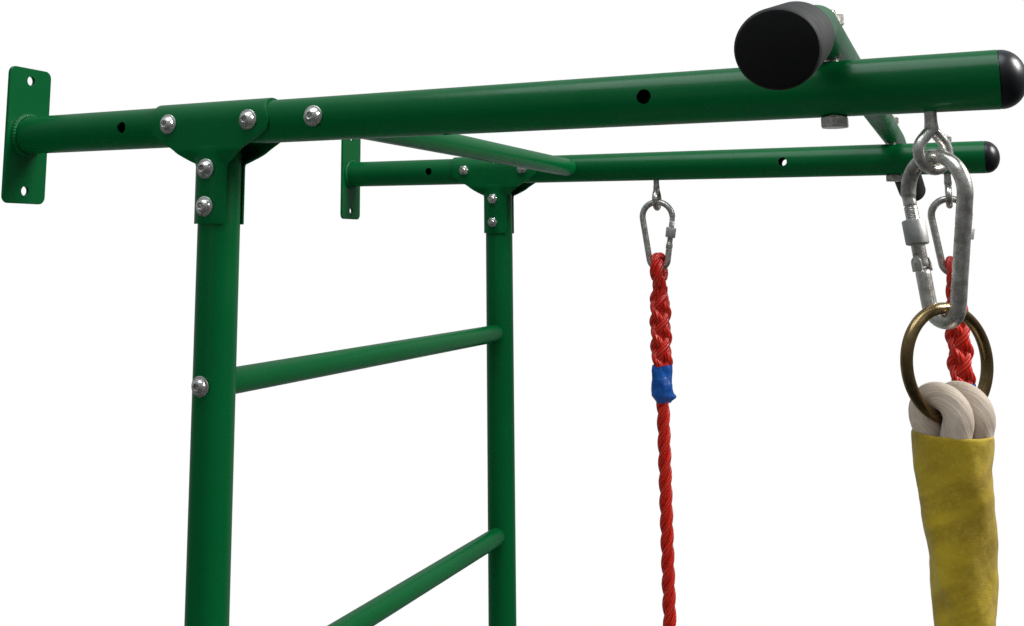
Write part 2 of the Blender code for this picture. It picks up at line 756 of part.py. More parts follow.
def make_grip(side):
    """Foam grip with a closed outer end, pushed over the bar."""
    bore = BAR_RADIUS + GAP
    r = GRIP_RADIUS
    e = GRIP_EDGE
    length = GRIP_LENGTH
    profile = [(0.0, 0.0), (r - e, 0.0), (r, -e), (r, -length + e), (r - e, -length), (bore, -length),
               (bore, -GRIP_END_WALL), (0.0, -GRIP_END_WALL)]
    grip = turned(side_name(side) + "_grip", profile, FOAM, TUBE_SEGMENTS)
    end = bar_end()
    run = end - bar_end(length)
    grip.location = (end.x, side * end.y, end.z)
    grip.rotation_mode = "QUATERNION"
    grip.rotation_quaternion = Vector((0, 0, 1)).rotation_difference(Vector((run.x, side * run.y, run.z)))
    return grip


def make_bar_bolt(side):
    """Hexagon head under the arm, shank up through the arm and the bar."""
    name = side_name(side) + "_bar_bolt"
    y = side_y(side)
    under = ARM_HEIGHT - ARM_RADIUS - GAP
    top = bar_height() + BAR_RADIUS + GAP + M10_NUT_HEIGHT + 3 * MM
    bm = bmesh.new()
    add_cylinder(bm, M10_RADIUS, (BAR_X, y, under - M10_HEAD_HEIGHT / 2), (BAR_X, y, top), 16)
    bolt = part_mesh(name, bm, ZINC)
    head = bmesh.new()
    add_hexagon(head, M10_FLATS, (BAR_X, y, under - M10_HEAD_HEIGHT), (BAR_X, y, under))
    return joined(bolt, part_mesh(name + "_head", head, ZINC))


def make_bar_nut(side):
    name = side_name(side) + "_bar_nut"
    y = side_y(side)
    seat = bar_height() + BAR_RADIUS + GAP
    bm = bmesh.new()
    add_hexagon(bm, M10_FLATS, (BAR_X, y, seat), (BAR_X, y, seat + M10_NUT_HEIGHT))
    nut = part_mesh(name, bm, ZINC)
    thread = bmesh.new()
    add_cylinder(thread, M10_RADIUS + GAP, (BAR_X, y, seat - 5 * MM),
                 (BAR_X, y, seat + M10_NUT_HEIGHT + 5 * MM), 16)
    boolean(nut, cutter_mesh(name + "_thread", thread))
    return nut


# Pear-shaped loops, used for the eye bolts and the carabiners

def pear(top_radius, bottom_radius, distance, arc_steps, run_steps=1):
    """Closed centre line in the XZ plane round two circles, the top one at the origin.

    It starts at the top of the right run and goes over the top to the left.
    """
    lean = math.asin((bottom_radius - top_radius) / distance)
    top = circle_arc((0, 0), top_radius, lean, math.pi - lean, arc_steps)
    bottom = circle_arc((0, -distance), bottom_radius, math.pi - lean, math.tau + lean, arc_steps)
    return top + bottom


def make_eye_bolt(name, side, x, turn, through):
    """Bent-wire eye on a threaded shank that is held in the arm's lower or both walls."""
    y = side_y(side)
    bottom_radius = EYE_WIDTH / 2 - EYE_WIRE
    distance = EYE_LENGTH - EYE_NECK_RADIUS - bottom_radius - 2 * EYE_WIRE
    path = pear(EYE_NECK_RADIUS, bottom_radius, distance, 8)
    loop = wire(name, path, EYE_WIRE, ZINC, cyclic=True)
    top = ARM_HEIGHT - ARM_RADIUS - EYE_SHANK_SHOW
    loop.rotation_euler = (0.0, 0.0, turn)
    loop.location = (x, y, top - EYE_NECK_RADIUS - EYE_WIRE)
    eye = to_mesh(loop)
    bm = bmesh.new()
    corner = M8_NUT_FLATS / math.sqrt(3)
    seat = ARM_HEIGHT - math.sqrt((ARM_RADIUS - ARM_WALL - 2 * GAP) ** 2 - corner ** 2)
    end = seat + M8_NUT_HEIGHT + 1.5 * MM
    nut_at = seat
    if through:
        nut_at = ARM_HEIGHT + ARM_RADIUS + GAP
        end = nut_at + M8_NUT_HEIGHT + M8_THREAD_END
    add_cylinder(bm, M8_RADIUS, (x, y, top - EYE_WIRE * 1.6), (x, y, end), 12)
    shank = part_mesh(name + "_shank", bm, ZINC)
    nut = bmesh.new()
    add_hexagon(nut, M8_NUT_FLATS, (x, y, nut_at), (x, y, nut_at + M8_NUT_HEIGHT))
    return joined(eye, shank, part_mesh(name + "_nut", nut, ZINC))


def eye_seat():
    """Height of the inside of an eye's lowest wire, where a carabiner rests."""
    return ARM_HEIGHT - ARM_RADIUS - EYE_SHANK_SHOW - EYE_LENGTH + 2 * EYE_WIRE


class Carabiner:
    """Sizes and places of one pear-shaped screw-lock carabiner."""

    def __init__(self, name, sizes, side, x, turn, gate_side):
        self.name = name
        self.height, self.top_width, self.bottom_width, self.wire = sizes
        self.top_radius = self.top_width / 2 - self.wire
        self.bottom_radius = self.bottom_width / 2 - self.wire
        self.distance = self.height - 2 * self.wire - self.top_radius - self.bottom_radius
        self.turn = turn
        self.gate_side = gate_side
        apex = eye_seat() + self.wire + 2 * GAP
        self.centre = Vector((x, side_y(side), apex - self.top_radius))
        self.lean = math.asin((self.top_radius - self.bottom_radius) / self.distance)

    def place(self):
        flip = Matrix.Scale(self.gate_side, 4, (1, 0, 0))
        return Matrix.Translation(self.centre) @ Matrix.Rotation(self.turn, 4, "Z") @ flip

    def swing_point(self):
        """Middle of the eye's lowest wire, which the carabiner turns about."""
        return Vector((self.centre.x, self.centre.y, eye_seat() - EYE_WIRE))

    def load_point(self):
        """Middle of the carabiner's lowest wire."""
        drop = self.distance + self.bottom_radius
        return self.centre - Vector((0, 0, drop))

    def run(self, share):
        """Point on the gate side's straight run, from its top (0) to its bottom (1)."""
        across = Vector((math.cos(self.lean), 0, -math.sin(self.lean)))
        start = across * self.top_radius
        end = Vector((0, 0, -self.distance)) + across * self.bottom_radius
        return start.lerp(end, share)

    def share_at(self, below_top):
        """Share of the run that lies the given share of the full height below the top."""
        z = self.top_radius + self.wire - below_top * self.height
        top = self.run(0.0).z
        return (top - z) / (top - self.run(1.0).z)

    def body_points(self):
        """Centre line of the fixed hook from its nose round to the gate's hinge."""
        lean = -self.lean
        top = circle_arc((0, 0), self.top_radius, lean, math.pi - lean, 12)
        bottom = circle_arc((0, -self.distance), self.bottom_radius, math.pi - lean, math.tau + lean, 9)
        nose = self.run(self.share_at(GATE_FROM_TOP))
        hinge = self.run(self.share_at(GATE_TO_BOTTOM))
        return [nose] + top + bottom + [hinge]

    def gate_radius(self):
        return self.wire - GATE_STEP

    def gate_ends(self):
        """Lower and upper end of the gate on the run."""
        low = self.run(self.share_at(GATE_TO_BOTTOM))
        high = self.run(self.share_at(GATE_FROM_TOP))
        step = (high - low).normalized() * GATE_GAP
        return low + step, high - step

    def gate_pivot(self):
        """Centre of the gate's round foot, which it turns about."""
        low, high = self.gate_ends()
        return low + (high - low).normalized() * self.gate_radius()


def placed(thing, carabiner, origin=None):
    """Place an object that was drawn in a carabiner's own plane, with its origin on a point."""
    thing = to_mesh(thing)
    matrix = carabiner.place()
    world_origin = matrix @ Vector(origin) if origin is not None else carabiner.swing_point()
    thing.data.transform(matrix)
    thing.data.transform(Matrix.Translation(-world_origin))
    if carabiner.gate_side < 0:
        thing.data.flip_normals()
    thing.location = world_origin
    return thing


def make_carabiner(carabiner):
    name = carabiner.name
    rod = carabiner.gate_radius()
    points = carabiner.body_points()
    widths = [rod - THREAD_STEP, rod - THREAD_STEP] + [carabiner.wire] * (len(points) - 2)
    body = wire(name + "_carabiner", points, carabiner.wire, ZINC, radii=widths)
    placed(body, carabiner)
    low, high = carabiner.gate_ends()
    along = (high - low).normalized()
    thread = rod - THREAD_STEP
    neck = low.lerp(high, 0.62)
    points = []
    radii = []
    for angle in (0.35, 0.85, math.pi / 2):
        points.append(low + along * rod * (1 - math.cos(angle)))
        radii.append(rod * math.sin(angle))
    points += [neck, neck + along * 0.2 * MM, high - along * MM, high]
    radii += [rod, thread, thread, thread * 0.85]
    gate = wire(name + "_gate", points, rod, ZINC, resolution=3, radii=radii)
    placed(gate, carabiner, carabiner.gate_pivot())
    length = SLEEVE_LENGTH * carabiner.height
    top = high - along * SLEEVE_DROP * carabiner.height
    bottom = top - along * length
    sleeve_bm = bmesh.new()
    add_cylinder(sleeve_bm, rod + SLEEVE_CLEARANCE + SLEEVE_WALL, bottom, top, 20)
    sleeve = part_mesh(name + "_lock_sleeve", sleeve_bm, ZINC)
    bore = bmesh.new()
    add_cylinder(bore, rod + SLEEVE_CLEARANCE, bottom - along * MM, top + along * MM, 16)
    boolean(sleeve, cutter_mesh(name + "_lock_sleeve_bore", bore))
    placed(sleeve, carabiner, top.lerp(bottom, 0.5))


# Climbing rope

def ring_path(radius, steps):
    return [Vector((radius * math.cos(math.tau * n / steps), 0, radius * math.sin(math.tau * n / steps)))
            for n in range(steps)]


def brass_ring_centre(carabiner):
    """The ring hangs in the carabiner's lowest wire."""
    rest = carabiner.load_point().z + carabiner.wire + GAP + BRASS_RING_WIRE
    return Vector((carabiner.centre.x, carabiner.centre.y, rest - BRASS_RING_RADIUS))


def make_brass_ring(carabiner):
    ring = wire("brass_ring", ring_path(BRASS_RING_RADIUS, 24), BRASS_RING_WIRE, BRASS, cyclic=True)
    ring.location = brass_ring_centre(carabiner)
    ring.rotation_euler = (0, 0, BRASS_RING_TURN)
    return to_mesh(ring)


def loop_path(half_width, height, steps):
    """Narrow upright loop in the YZ plane with round ends, its top at the origin."""
    reach = half_width
    top = [(reach * math.cos(math.pi * n / steps), reach * math.sin(math.pi * n / steps) - reach)
           for n in range(steps + 1)]
    points = top + [(-y, -height - z) for y, z in top]
    return [Vector((0, y, z)) for y, z in points]


def cover_top(carabiner):
    return brass_ring_centre(carabiner).z - BRASS_RING_RADIUS - COVER_DROP


def cover_radius(drop):
    """Outer radius of the cloth cover at a drop below its top."""
    share = min(1.0, drop / COVER_TAPER_LENGTH)
    return COVER_TOP_RADIUS + (COVER_BOTTOM_RADIUS - COVER_TOP_RADIUS) * share


def make_climbing_rope(carabiner):
    """Two rope loops round the brass ring, running together into one thick rope."""
    centre = brass_ring_centre(carabiner)
    inside = BRASS_RING_RADIUS - BRASS_RING_WIRE - GAP - ROPE_LOOP_RADIUS
    loop_top = centre.z - math.sqrt(inside ** 2 - ROPE_LOOP_HALF_SPREAD ** 2)
    half = BRASS_RING_WIRE + GAP + ROPE_LOOP_RADIUS
    narrow = ROPE_LOOP_RADIUS + GAP
    top_z = cover_top(carabiner)
    distance = loop_top - half - top_z + 4 * MM
    turn = Matrix.Rotation(BRASS_RING_TURN, 4, "Z")
    loops = []
    for sign in (-1, 1):
        loop = wire("climbing_rope_loop_%d" % (sign + 2), pear(half, narrow, distance, 7),
                    ROPE_LOOP_RADIUS, COTTON, cyclic=True)
        offset = turn @ Vector((sign * ROPE_LOOP_HALF_SPREAD, 0, 0))
        loop.location = Vector((centre.x, centre.y, loop_top - half)) + offset
        loop.rotation_euler = (0, 0, BRASS_RING_TURN + math.pi / 2)
        loops.append(to_mesh(loop))
    sections = []
    core_top = loop_top - half - distance - narrow + 4 * MM
    for drop in (0.0, 25 * MM, 60 * MM, COVER_TAPER_LENGTH, COVER_LENGTH):
        z = core_top if drop == 0.0 else top_z - drop
        sections.append((z, cover_radius(top_z - z) - COVER_WALL - 2 * GAP))
    sections.append((top_z - COVER_LENGTH - 12 * MM, ROPE_RADIUS))
    start = sections[-1][0]
    whipping = ROPE_END_HEIGHT + 44 * MM
    runs = 20
    for n in range(1, runs + 1):
        sections.append((start + (whipping - start) * n / runs, ROPE_RADIUS))
    sections += [(whipping - MM, ROPE_RADIUS + 1.2 * MM), (ROPE_END_HEIGHT + 3 * MM, ROPE_RADIUS + 1.2 * MM),
                 (ROPE_END_HEIGHT, ROPE_RADIUS * 0.8)]
    points = [Vector((centre.x, centre.y, z)) for z, radius in sections]
    radii = [radius for z, radius in sections]
    rope = to_mesh(wire("climbing_rope", points, ROPE_RADIUS, COTTON, resolution=3, radii=radii))
    return joined(rope, *loops)


def make_rope_cover(carabiner):
    """Yellow cloth sleeve over the rope's splice, wide at the top and narrower below."""
    centre = brass_ring_centre(carabiner)
    drops = (0.0, COVER_TAPER_LENGTH / 2, COVER_TAPER_LENGTH, COVER_LENGTH)
    outer = [(cover_radius(drop), -drop) for drop in drops]
    inner = [(radius - COVER_WALL, height) for radius, height in reversed(outer)]
    cover = turned("rope_cover", outer + inner, YELLOW, TUBE_SEGMENTS)
    cover.location = (centre.x, centre.y, cover_top(carabiner))
    return cover


# Red ropes and gymnastic rings

def make_red_rope(name, carabiner):
    """Spliced eye on the carabiner, rope, and a spliced eye round the gymnastic ring."""
    load = carabiner.load_point()
    half = carabiner.wire + GAP + RED_EYE_RADIUS
    eye_height = 2 * half + 16 * MM
    top_path = loop_path(half, eye_height, 6)
    top_eye = wire(name + "_top_eye", top_path, RED_EYE_RADIUS, RED, cyclic=True)
    top_eye.location = (load.x, load.y, load.z + half)
    top_eye.rotation_euler = (0, 0, carabiner.turn)
    top_eye = to_mesh(top_eye)
    ring_half = GYM_RING_WIRE + GYM_RING_SLACK + RED_EYE_RADIUS
    ring_height = 2 * ring_half + 26 * MM
    low_path = loop_path(ring_half, ring_height, 6)
    low_eye = wire(name + "_low_eye", low_path, RED_EYE_RADIUS, RED, cyclic=True)
    wire_centre = GYM_RING_TOP - GYM_RING_WIRE
    low_eye.location = (load.x, load.y, wire_centre - ring_half + ring_height)
    low_eye.rotation_euler = (0, 0, math.pi / 2)
    low_eye = to_mesh(low_eye)
    start = load.z + half - eye_height + RED_EYE_RADIUS
    splice_end = start - RED_SPLICE_LENGTH
    end = wire_centre - ring_half + ring_height - RED_EYE_RADIUS
    splice = RED_SPLICE_RADIUS
    heights = [start, start - 10 * MM, splice_end, splice_end - 12 * MM]
    radii = [splice * 0.8, splice, splice * 0.9, RED_ROPE_RADIUS]
    runs = 10
    below = heights[-1]
    for n in range(1, runs + 1):
        heights.append(below + (end + 40 * MM - below) * n / runs)
        radii.append(RED_ROPE_RADIUS)
    heights += [end + 30 * MM, end]
    radii += [splice * 0.85, splice * 0.85]
    points = [Vector((load.x, load.y, z)) for z in heights]
    rope = to_mesh(wire(name, points, RED_ROPE_RADIUS, RED, radii=radii))
    return joined(rope, top_eye, low_eye)


def tape_top(carabiner):
    half = carabiner.wire + GAP + RED_EYE_RADIUS
    start = carabiner.load_point().z - half - 16 * MM + RED_EYE_RADIUS
    return start - RED_SPLICE_LENGTH + TAPE_LENGTH * 0.45


def make_tape(name, carabiner):
    """Blue tape wound over the lower end of the splice."""
    load = carabiner.load_point()
    outer = RED_SPLICE_RADIUS + TAPE_WALL
    inner = RED_SPLICE_RADIUS + GAP
    low_outer = RED_ROPE_RADIUS + TAPE_WALL
    low_inner = RED_ROPE_RADIUS + GAP
    length = TAPE_LENGTH
    profile = [(outer, 0.0), (outer, -length * 0.55), (low_outer + 1.5 * MM, -length),
               (low_inner, -length), (inner, -length * 0.55), (inner, 0.0)]
    tape = turned(name, profile, BLUE, 16)
    tape.location = (load.x, load.y, tape_top(carabiner))
    return tape


def make_gym_ring(name, carabiner):
    ring = wire(name, ring_path(GYM_RING_RADIUS, 26), GYM_RING_WIRE, WOOD, cyclic=True)
    centre_drop = GYM_RING_WIRE + GYM_RING_RADIUS
    pivot = Vector((carabiner.centre.x, carabiner.centre.y, GYM_RING_TOP - GYM_RING_WIRE))
    ring.location = (pivot.x, pivot.y, GYM_RING_TOP - centre_drop)
    ring.rotation_euler = (0, 0, math.pi / 2)
    return to_mesh(ring)


def joint_points(carabiner):
    """The points that the joints turn about, from the finished part's origin."""
    origin = Vector((0, side_y(NEAR), ARM_HEIGHT))
    low, high = carabiner.gate_ends()
    place = carabiner.place()
    points = {"swing": carabiner.swing_point(), "load": carabiner.load_point(),
              "gate pivot": place @ carabiner.gate_pivot(), "gate nose": place @ high}
    return {name: point - origin for name, point in points.items()}


def build():
    for side in (NEAR, FAR):
        make_arm(side)
        make_wall_plate(side)
        make_arm_cap(side)
        make_bracket(side)
        make_bracket_bolts(side)
        make_post(side)
        make_foot(side)
        make_cross_tube_bolt(side)
        make_grip(side)
        make_bar_bolt(side)
        make_bar_nut(side)
    for number, z in enumerate(rung_heights(), 1):
        make_rung(number, z)
    make_cross_tube()
    make_pull_up_bar()
    make_eye_bolt("near_eye_bolt", NEAR, EYE_OUTER_X, NEAR_EYE_TURN, False)
    make_eye_bolt("inner_eye_bolt", FAR, EYE_INNER_X, FAR_EYE_TURN, False)
    make_eye_bolt("outer_eye_bolt", FAR, EYE_OUTER_X, FAR_EYE_TURN, True)
    near = Carabiner("near", NEAR_CARABINER, NEAR, EYE_OUTER_X, NEAR_CARABINER_TURN, -1)
    inner = Carabiner("inner", FAR_CARABINER, FAR, EYE_INNER_X, FAR_CARABINER_TURN, 1)
    outer = Carabiner("outer", FAR_CARABINER, FAR, EYE_OUTER_X, FAR_CARABINER_TURN, 1)
    for carabiner in (near, inner, outer):
        make_carabiner(carabiner)
        for name, point in joint_points(carabiner).items():
            print(carabiner.name, name, [round(value, 5) for value in point])
    make_brass_ring(near)
    make_climbing_rope(near)
    make_rope_cover(near)
    for carabiner in (inner, outer):
        make_red_rope(carabiner.name + "_red_rope", carabiner)
        make_tape(carabiner.name + "_rope_tape", carabiner)
        make_gym_ring(carabiner.name + "_gym_ring", carabiner)
    origin = Vector((0, side_y(NEAR), ARM_HEIGHT))
    for thing in list(PART.objects) + list(CUTTERS.objects):
        thing.location -= origin


build()
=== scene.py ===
"""Looks of the wall bars: powder-coated tube frame, zinc fittings, ropes and rings.

Frame in metres: X leaves the wall, Y runs from the near arm to the far arm, Z is up.
The origin is the centre of the near wall plate's back face.
"""
import math

import bmesh
import bpy
from mathutils import Matrix, Vector, noise


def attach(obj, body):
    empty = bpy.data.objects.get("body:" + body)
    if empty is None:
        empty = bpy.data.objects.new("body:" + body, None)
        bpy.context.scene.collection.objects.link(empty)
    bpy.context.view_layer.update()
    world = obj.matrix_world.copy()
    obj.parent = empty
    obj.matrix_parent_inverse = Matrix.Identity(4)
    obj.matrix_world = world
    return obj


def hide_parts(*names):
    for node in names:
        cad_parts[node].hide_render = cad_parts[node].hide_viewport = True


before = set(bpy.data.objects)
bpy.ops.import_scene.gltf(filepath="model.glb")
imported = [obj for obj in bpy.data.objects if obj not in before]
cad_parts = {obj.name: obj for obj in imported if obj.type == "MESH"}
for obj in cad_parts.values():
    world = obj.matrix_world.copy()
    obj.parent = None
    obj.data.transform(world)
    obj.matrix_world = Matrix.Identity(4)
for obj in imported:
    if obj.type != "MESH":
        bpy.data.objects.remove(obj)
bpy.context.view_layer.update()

MM = 0.001
TAU = math.tau
UP = Vector((0, 0, 1))

# Frame sizes, as in the solids
ARM_SPACING = 692 * MM
FLOOR_Z = -2240 * MM
ARM_END = 908 * MM
ARM_RADIUS = 20 * MM
TUBE_WALL = 2 * MM
HOLE_REACH = ARM_RADIUS * 1.5
SIDES = ((-1, "near", 0.0), (1, "far", ARM_SPACING))
POST_X = 263.5 * MM
RUNG_COUNT = 7
RUNG_PITCH = 285.5 * MM
TOP_RUNG_Z = -242 * MM
RUNG_RADIUS = 12.5 * MM
CROSS_TUBE_X = 380 * MM
GAP = 0.3 * MM
PLATE_THICKNESS = 4 * MM
PLATE_WIDTH = 58 * MM
PLATE_HEIGHT = 146 * MM
PLATE_CORNER = 8 * MM
PLATE_HOLE_RADIUS = 5.25 * MM
PLATE_HOLE_OFFSET = 59.5 * MM
CAP_DOME = 16 * MM
SHEET = 2 * MM
BRACKET_HALF = 69 * MM
EAR_HALF = 17 * MM
EAR_BOTTOM = 95 * MM
FLANK_DROP = 9 * MM
NECK_DROP = 38 * MM
BRACKET_BOLTS = 47 * MM
POST_BOLTS = (44 * MM, 79 * MM)
FOOT_HEIGHT = 34 * MM
FOOT_SOLE = 7 * MM
FOOT_RADIUS = 23.5 * MM
M8 = 4 * MM
M8_HOLE = 4.6 * MM
M8_NUT = (13 * MM, 6.5 * MM)
M10 = 5 * MM
M10_HEX = 17 * MM
M10_HEAD = 7.5 * MM
M10_NUT = 8.4 * MM
SPARE_HOLES = (154 * MM, 675 * MM)
SPARE_RADIUS = 5.6 * MM

# Pull-up bar
BAR_X = 805.5 * MM
BAR_RADIUS = 12.5 * MM
BAR_Z = ARM_RADIUS + BAR_RADIUS + GAP
BAR_OVERHANG = 318 * MM
BEND_OFFSET = 80 * MM
BEND_ANGLE = math.radians(13.65)
BEND_RADIUS = 110 * MM
BAR_ROLL = math.radians(8)
GRIP_LENGTH = 95 * MM
GRIP_RADIUS = 18.8 * MM
GRIP_END = 5 * MM

# Hanging pieces
EYE_WIRE = 3.75 * MM
EYE_NECK = 3.9 * MM
EYE_WIDTH = 31 * MM
EYE_LENGTH = 34 * MM
EYE_SHOW = 9 * MM
EYE_NUT_INSIDE = -15.8 * MM
GATE_TIP = 0.31
GATE_FOOT = 0.68
LOCK_PITCH = 1.2 * MM
LOCK_THREAD = 5.5 * MM
SLEEVE_BORE = 0.35 * MM
SLEEVE_WALL = 2.6 * MM
OUTER_X = 866 * MM
INNER_X = 503 * MM
RING_RADIUS = 35.7 * MM
RING_WIRE = 3.8 * MM
RING_TURN = math.radians(50)
RING_STEPS = 120
RING_SEAM = 84
LOOP_RADIUS = 9.2 * MM
LOOP_SPREAD = 9.4 * MM
COVER_DROP = 8.5 * MM
COVER_LENGTH = 230 * MM
COVER_TAPER = 135 * MM
COVER_TOP = 25.6 * MM
COVER_LOW = 18.5 * MM
COVER_CLOTH = 1.2 * MM
COVER_HEM = 0.4 * MM
COVER_TWIST = 95 * MM
WHIP_HEIGHT = 44 * MM
WHIP_TURNS = 14
WHIP_TWINE = 1.45 * MM
ROPE_RADIUS = 15 * MM
ROPE_END_Z = FLOOR_Z + 260 * MM
ROPE_LAY = 85 * MM
RED_RADIUS = 8.5 * MM
RED_STRAND = 7.5 * MM
RED_LAY = 78 * MM
RED_LAID_REACH = 4.4 * MM
RED_LAID_STRAND = 4.7 * MM
RED_OUTER = RED_LAID_REACH + RED_LAID_STRAND
PLAIT_LAY = 100 * MM
PLAIT_WEAVE = 1.7 * MM
PLAIT_STRAND = 5.1 * MM
SPLICE_LENGTH = 134 * MM
EYE_SLACK = 0.9 * MM
EYE_LEG = 50 * MM
EYE_CLOSED = 3.6 * MM
SPLICE_START = 16 * MM
SPLICE_NECK = 26 * MM
PLAIT_REACH = 4.4 * MM
PLAIT_SWELL = 4.2 * MM
PLAIT_OVERLAP = 6 * MM
CORE_RADIUS = 8.2 * MM
LOW_PLAIT = 78 * MM
LOW_PLAIT_RISE = 50 * MM
TAPE_LENGTH = 50 * MM
TAPE_RADIUS = 13.4 * MM
TAPE_WIND = 13 * MM
TAPE_CORNER = 43 * MM
GYM_TOP_Z = FLOOR_Z + 1480 * MM
GYM_RADIUS = 92 * MM
GYM_WIRE = 13 * MM
GYM_SLACK = 0.95 * MM

# Camera, light and floor
PICTURE_WIDTH = 1024
PICTURE_HEIGHT = 626
SENSOR_WIDTH = 36.0
FOCAL_PIXELS = 1056.9
AXIS_X = 376.05
AXIS_Y = 86.6
CAMERA_AT = Vector((0.8825, -0.8109, -0.1118))
CAMERA_RIGHT = Vector((0.8749, 0.4842, 0.0085))
CAMERA_UP = Vector((0.0637, -0.1325, 0.9891))
CAMERA_BACK = Vector((0.4801, -0.8649, -0.1468))
WALL_SIDE = (-0.42, 0.86, 0.28)
WALL_COLOR = (0.80, 0.84, 0.86, 1)
FLOOR_HALF = 2.2


def new_object(name, data):
    made = bpy.data.objects.new(name, data)
    bpy.context.scene.collection.objects.link(made)
    return made


def new_mesh(name, bm):
    mesh = bpy.data.meshes.new(name)
    bm.to_mesh(mesh)
    bm.free()
    return mesh


def add_camera():
    """Camera solved from the photo, which is a crop: the lens axis is off the middle."""
    lens = bpy.data.cameras.new("camera")
    lens.sensor_width = SENSOR_WIDTH
    lens.lens = FOCAL_PIXELS / PICTURE_WIDTH * SENSOR_WIDTH
    lens.shift_x = (PICTURE_WIDTH / 2 - AXIS_X) / PICTURE_WIDTH
    lens.shift_y = -(PICTURE_HEIGHT / 2 - AXIS_Y) / PICTURE_WIDTH
    lens.clip_start = 0.02
    camera = new_object("camera", lens)
    turn = Matrix((CAMERA_RIGHT, CAMERA_UP, CAMERA_BACK)).transposed().to_4x4()
    camera.matrix_world = Matrix.Translation(CAMERA_AT) @ turn
    bpy.context.scene.camera = camera


def add_area(name, spot, target, size, power, color=(1, 1, 1), glossy=True):
    light = bpy.data.lights.new(name, "AREA")
    light.shape = "DISK"
    light.size = size
    light.energy = power
    light.color = color
    lamp = new_object(name, light)
    lamp.location = spot
    lamp.rotation_euler = (Vector(target) - Vector(spot)).to_track_quat("-Z", "Y").to_euler()
    lamp.visible_glossy = glossy


def add_node(tree, kind, inputs=None, **values):
    """Add a node; each input takes a constant or the output of another node."""
    node = tree.nodes.new(kind)
    for key, value in values.items():
        setattr(node, key, value)
    for socket, value in (inputs or {}).items():
        if isinstance(value, bpy.types.NodeSocket):
            tree.links.new(value, node.inputs[socket])
        else:
            node.inputs[socket].default_value = value
    return node


def add_world():
    """White for the camera; for the object dark below, pale above and bright on one side."""
    world = bpy.data.worlds.new("surroundings")
    bpy.context.scene.world = world
    world.use_nodes = True
    tree = world.node_tree
    tree.nodes.clear()
    toward = add_node(tree, "ShaderNodeTexCoord").outputs["Generated"]
    height = add_node(tree, "ShaderNodeSeparateXYZ", {0: toward}).outputs["Z"]
    share = add_node(tree, "ShaderNodeMapRange", {"Value": height, "From Min": -1.0}).outputs[0]
    ramp = add_node(tree, "ShaderNodeValToRGB", {0: share})
    steps = ramp.color_ramp.elements
    steps[0].position = 0.25
    steps[0].color = (0.010, 0.011, 0.012, 1)
    steps[1].position = 0.98
    steps[1].color = (0.62, 0.66, 0.70, 1)
    middle = steps.new(0.6)
    middle.color = (0.15, 0.153, 0.155, 1)
    facing = add_node(tree, "ShaderNodeVectorMath", {0: toward, 1: WALL_SIDE}, operation="DOT_PRODUCT")
    wall = add_node(tree, "ShaderNodeMapRange", {"Value": facing.outputs["Value"], "From Min": -0.05,
                                                 "From Max": 0.85, "To Max": 0.42},
                    interpolation_type="SMOOTHSTEP")
    total = add_node(tree, "ShaderNodeMix", {0: wall.outputs[0], 6: ramp.outputs[0], 7: WALL_COLOR},
                     data_type="RGBA")
    soft = add_node(tree, "ShaderNodeBackground", {0: total.outputs[2], 1: 0.7})
    plain = add_node(tree, "ShaderNodeBackground", {0: (1, 1, 1, 1)})
    seen = add_node(tree, "ShaderNodeLightPath").outputs["Is Camera Ray"]
    mix = add_node(tree, "ShaderNodeMixShader", {0: seen, 1: soft.outputs[0], 2: plain.outputs[0]})
    add_node(tree, "ShaderNodeOutputWorld", {0: mix.outputs[0]})


def add_lamps():
    add_area("key", (3.1, 0.7, 1.5), (0.5, 0.1, -0.3), 1.2, 112, (1.0, 0.985, 0.96))
    add_area("top", (0.5, -0.5, 2.6), (0.4, 0.3, 0.0), 2.4, 54, (0.90, 0.97, 1.0))
    add_area("front", (0.2, -2.9, 0.2), (0.4, 0.2, -0.5), 1.6, 19, glossy=False)


bpy.context.scene.view_settings.view_transform = "Standard"
add_camera()
add_world()
add_lamps()


# Materials

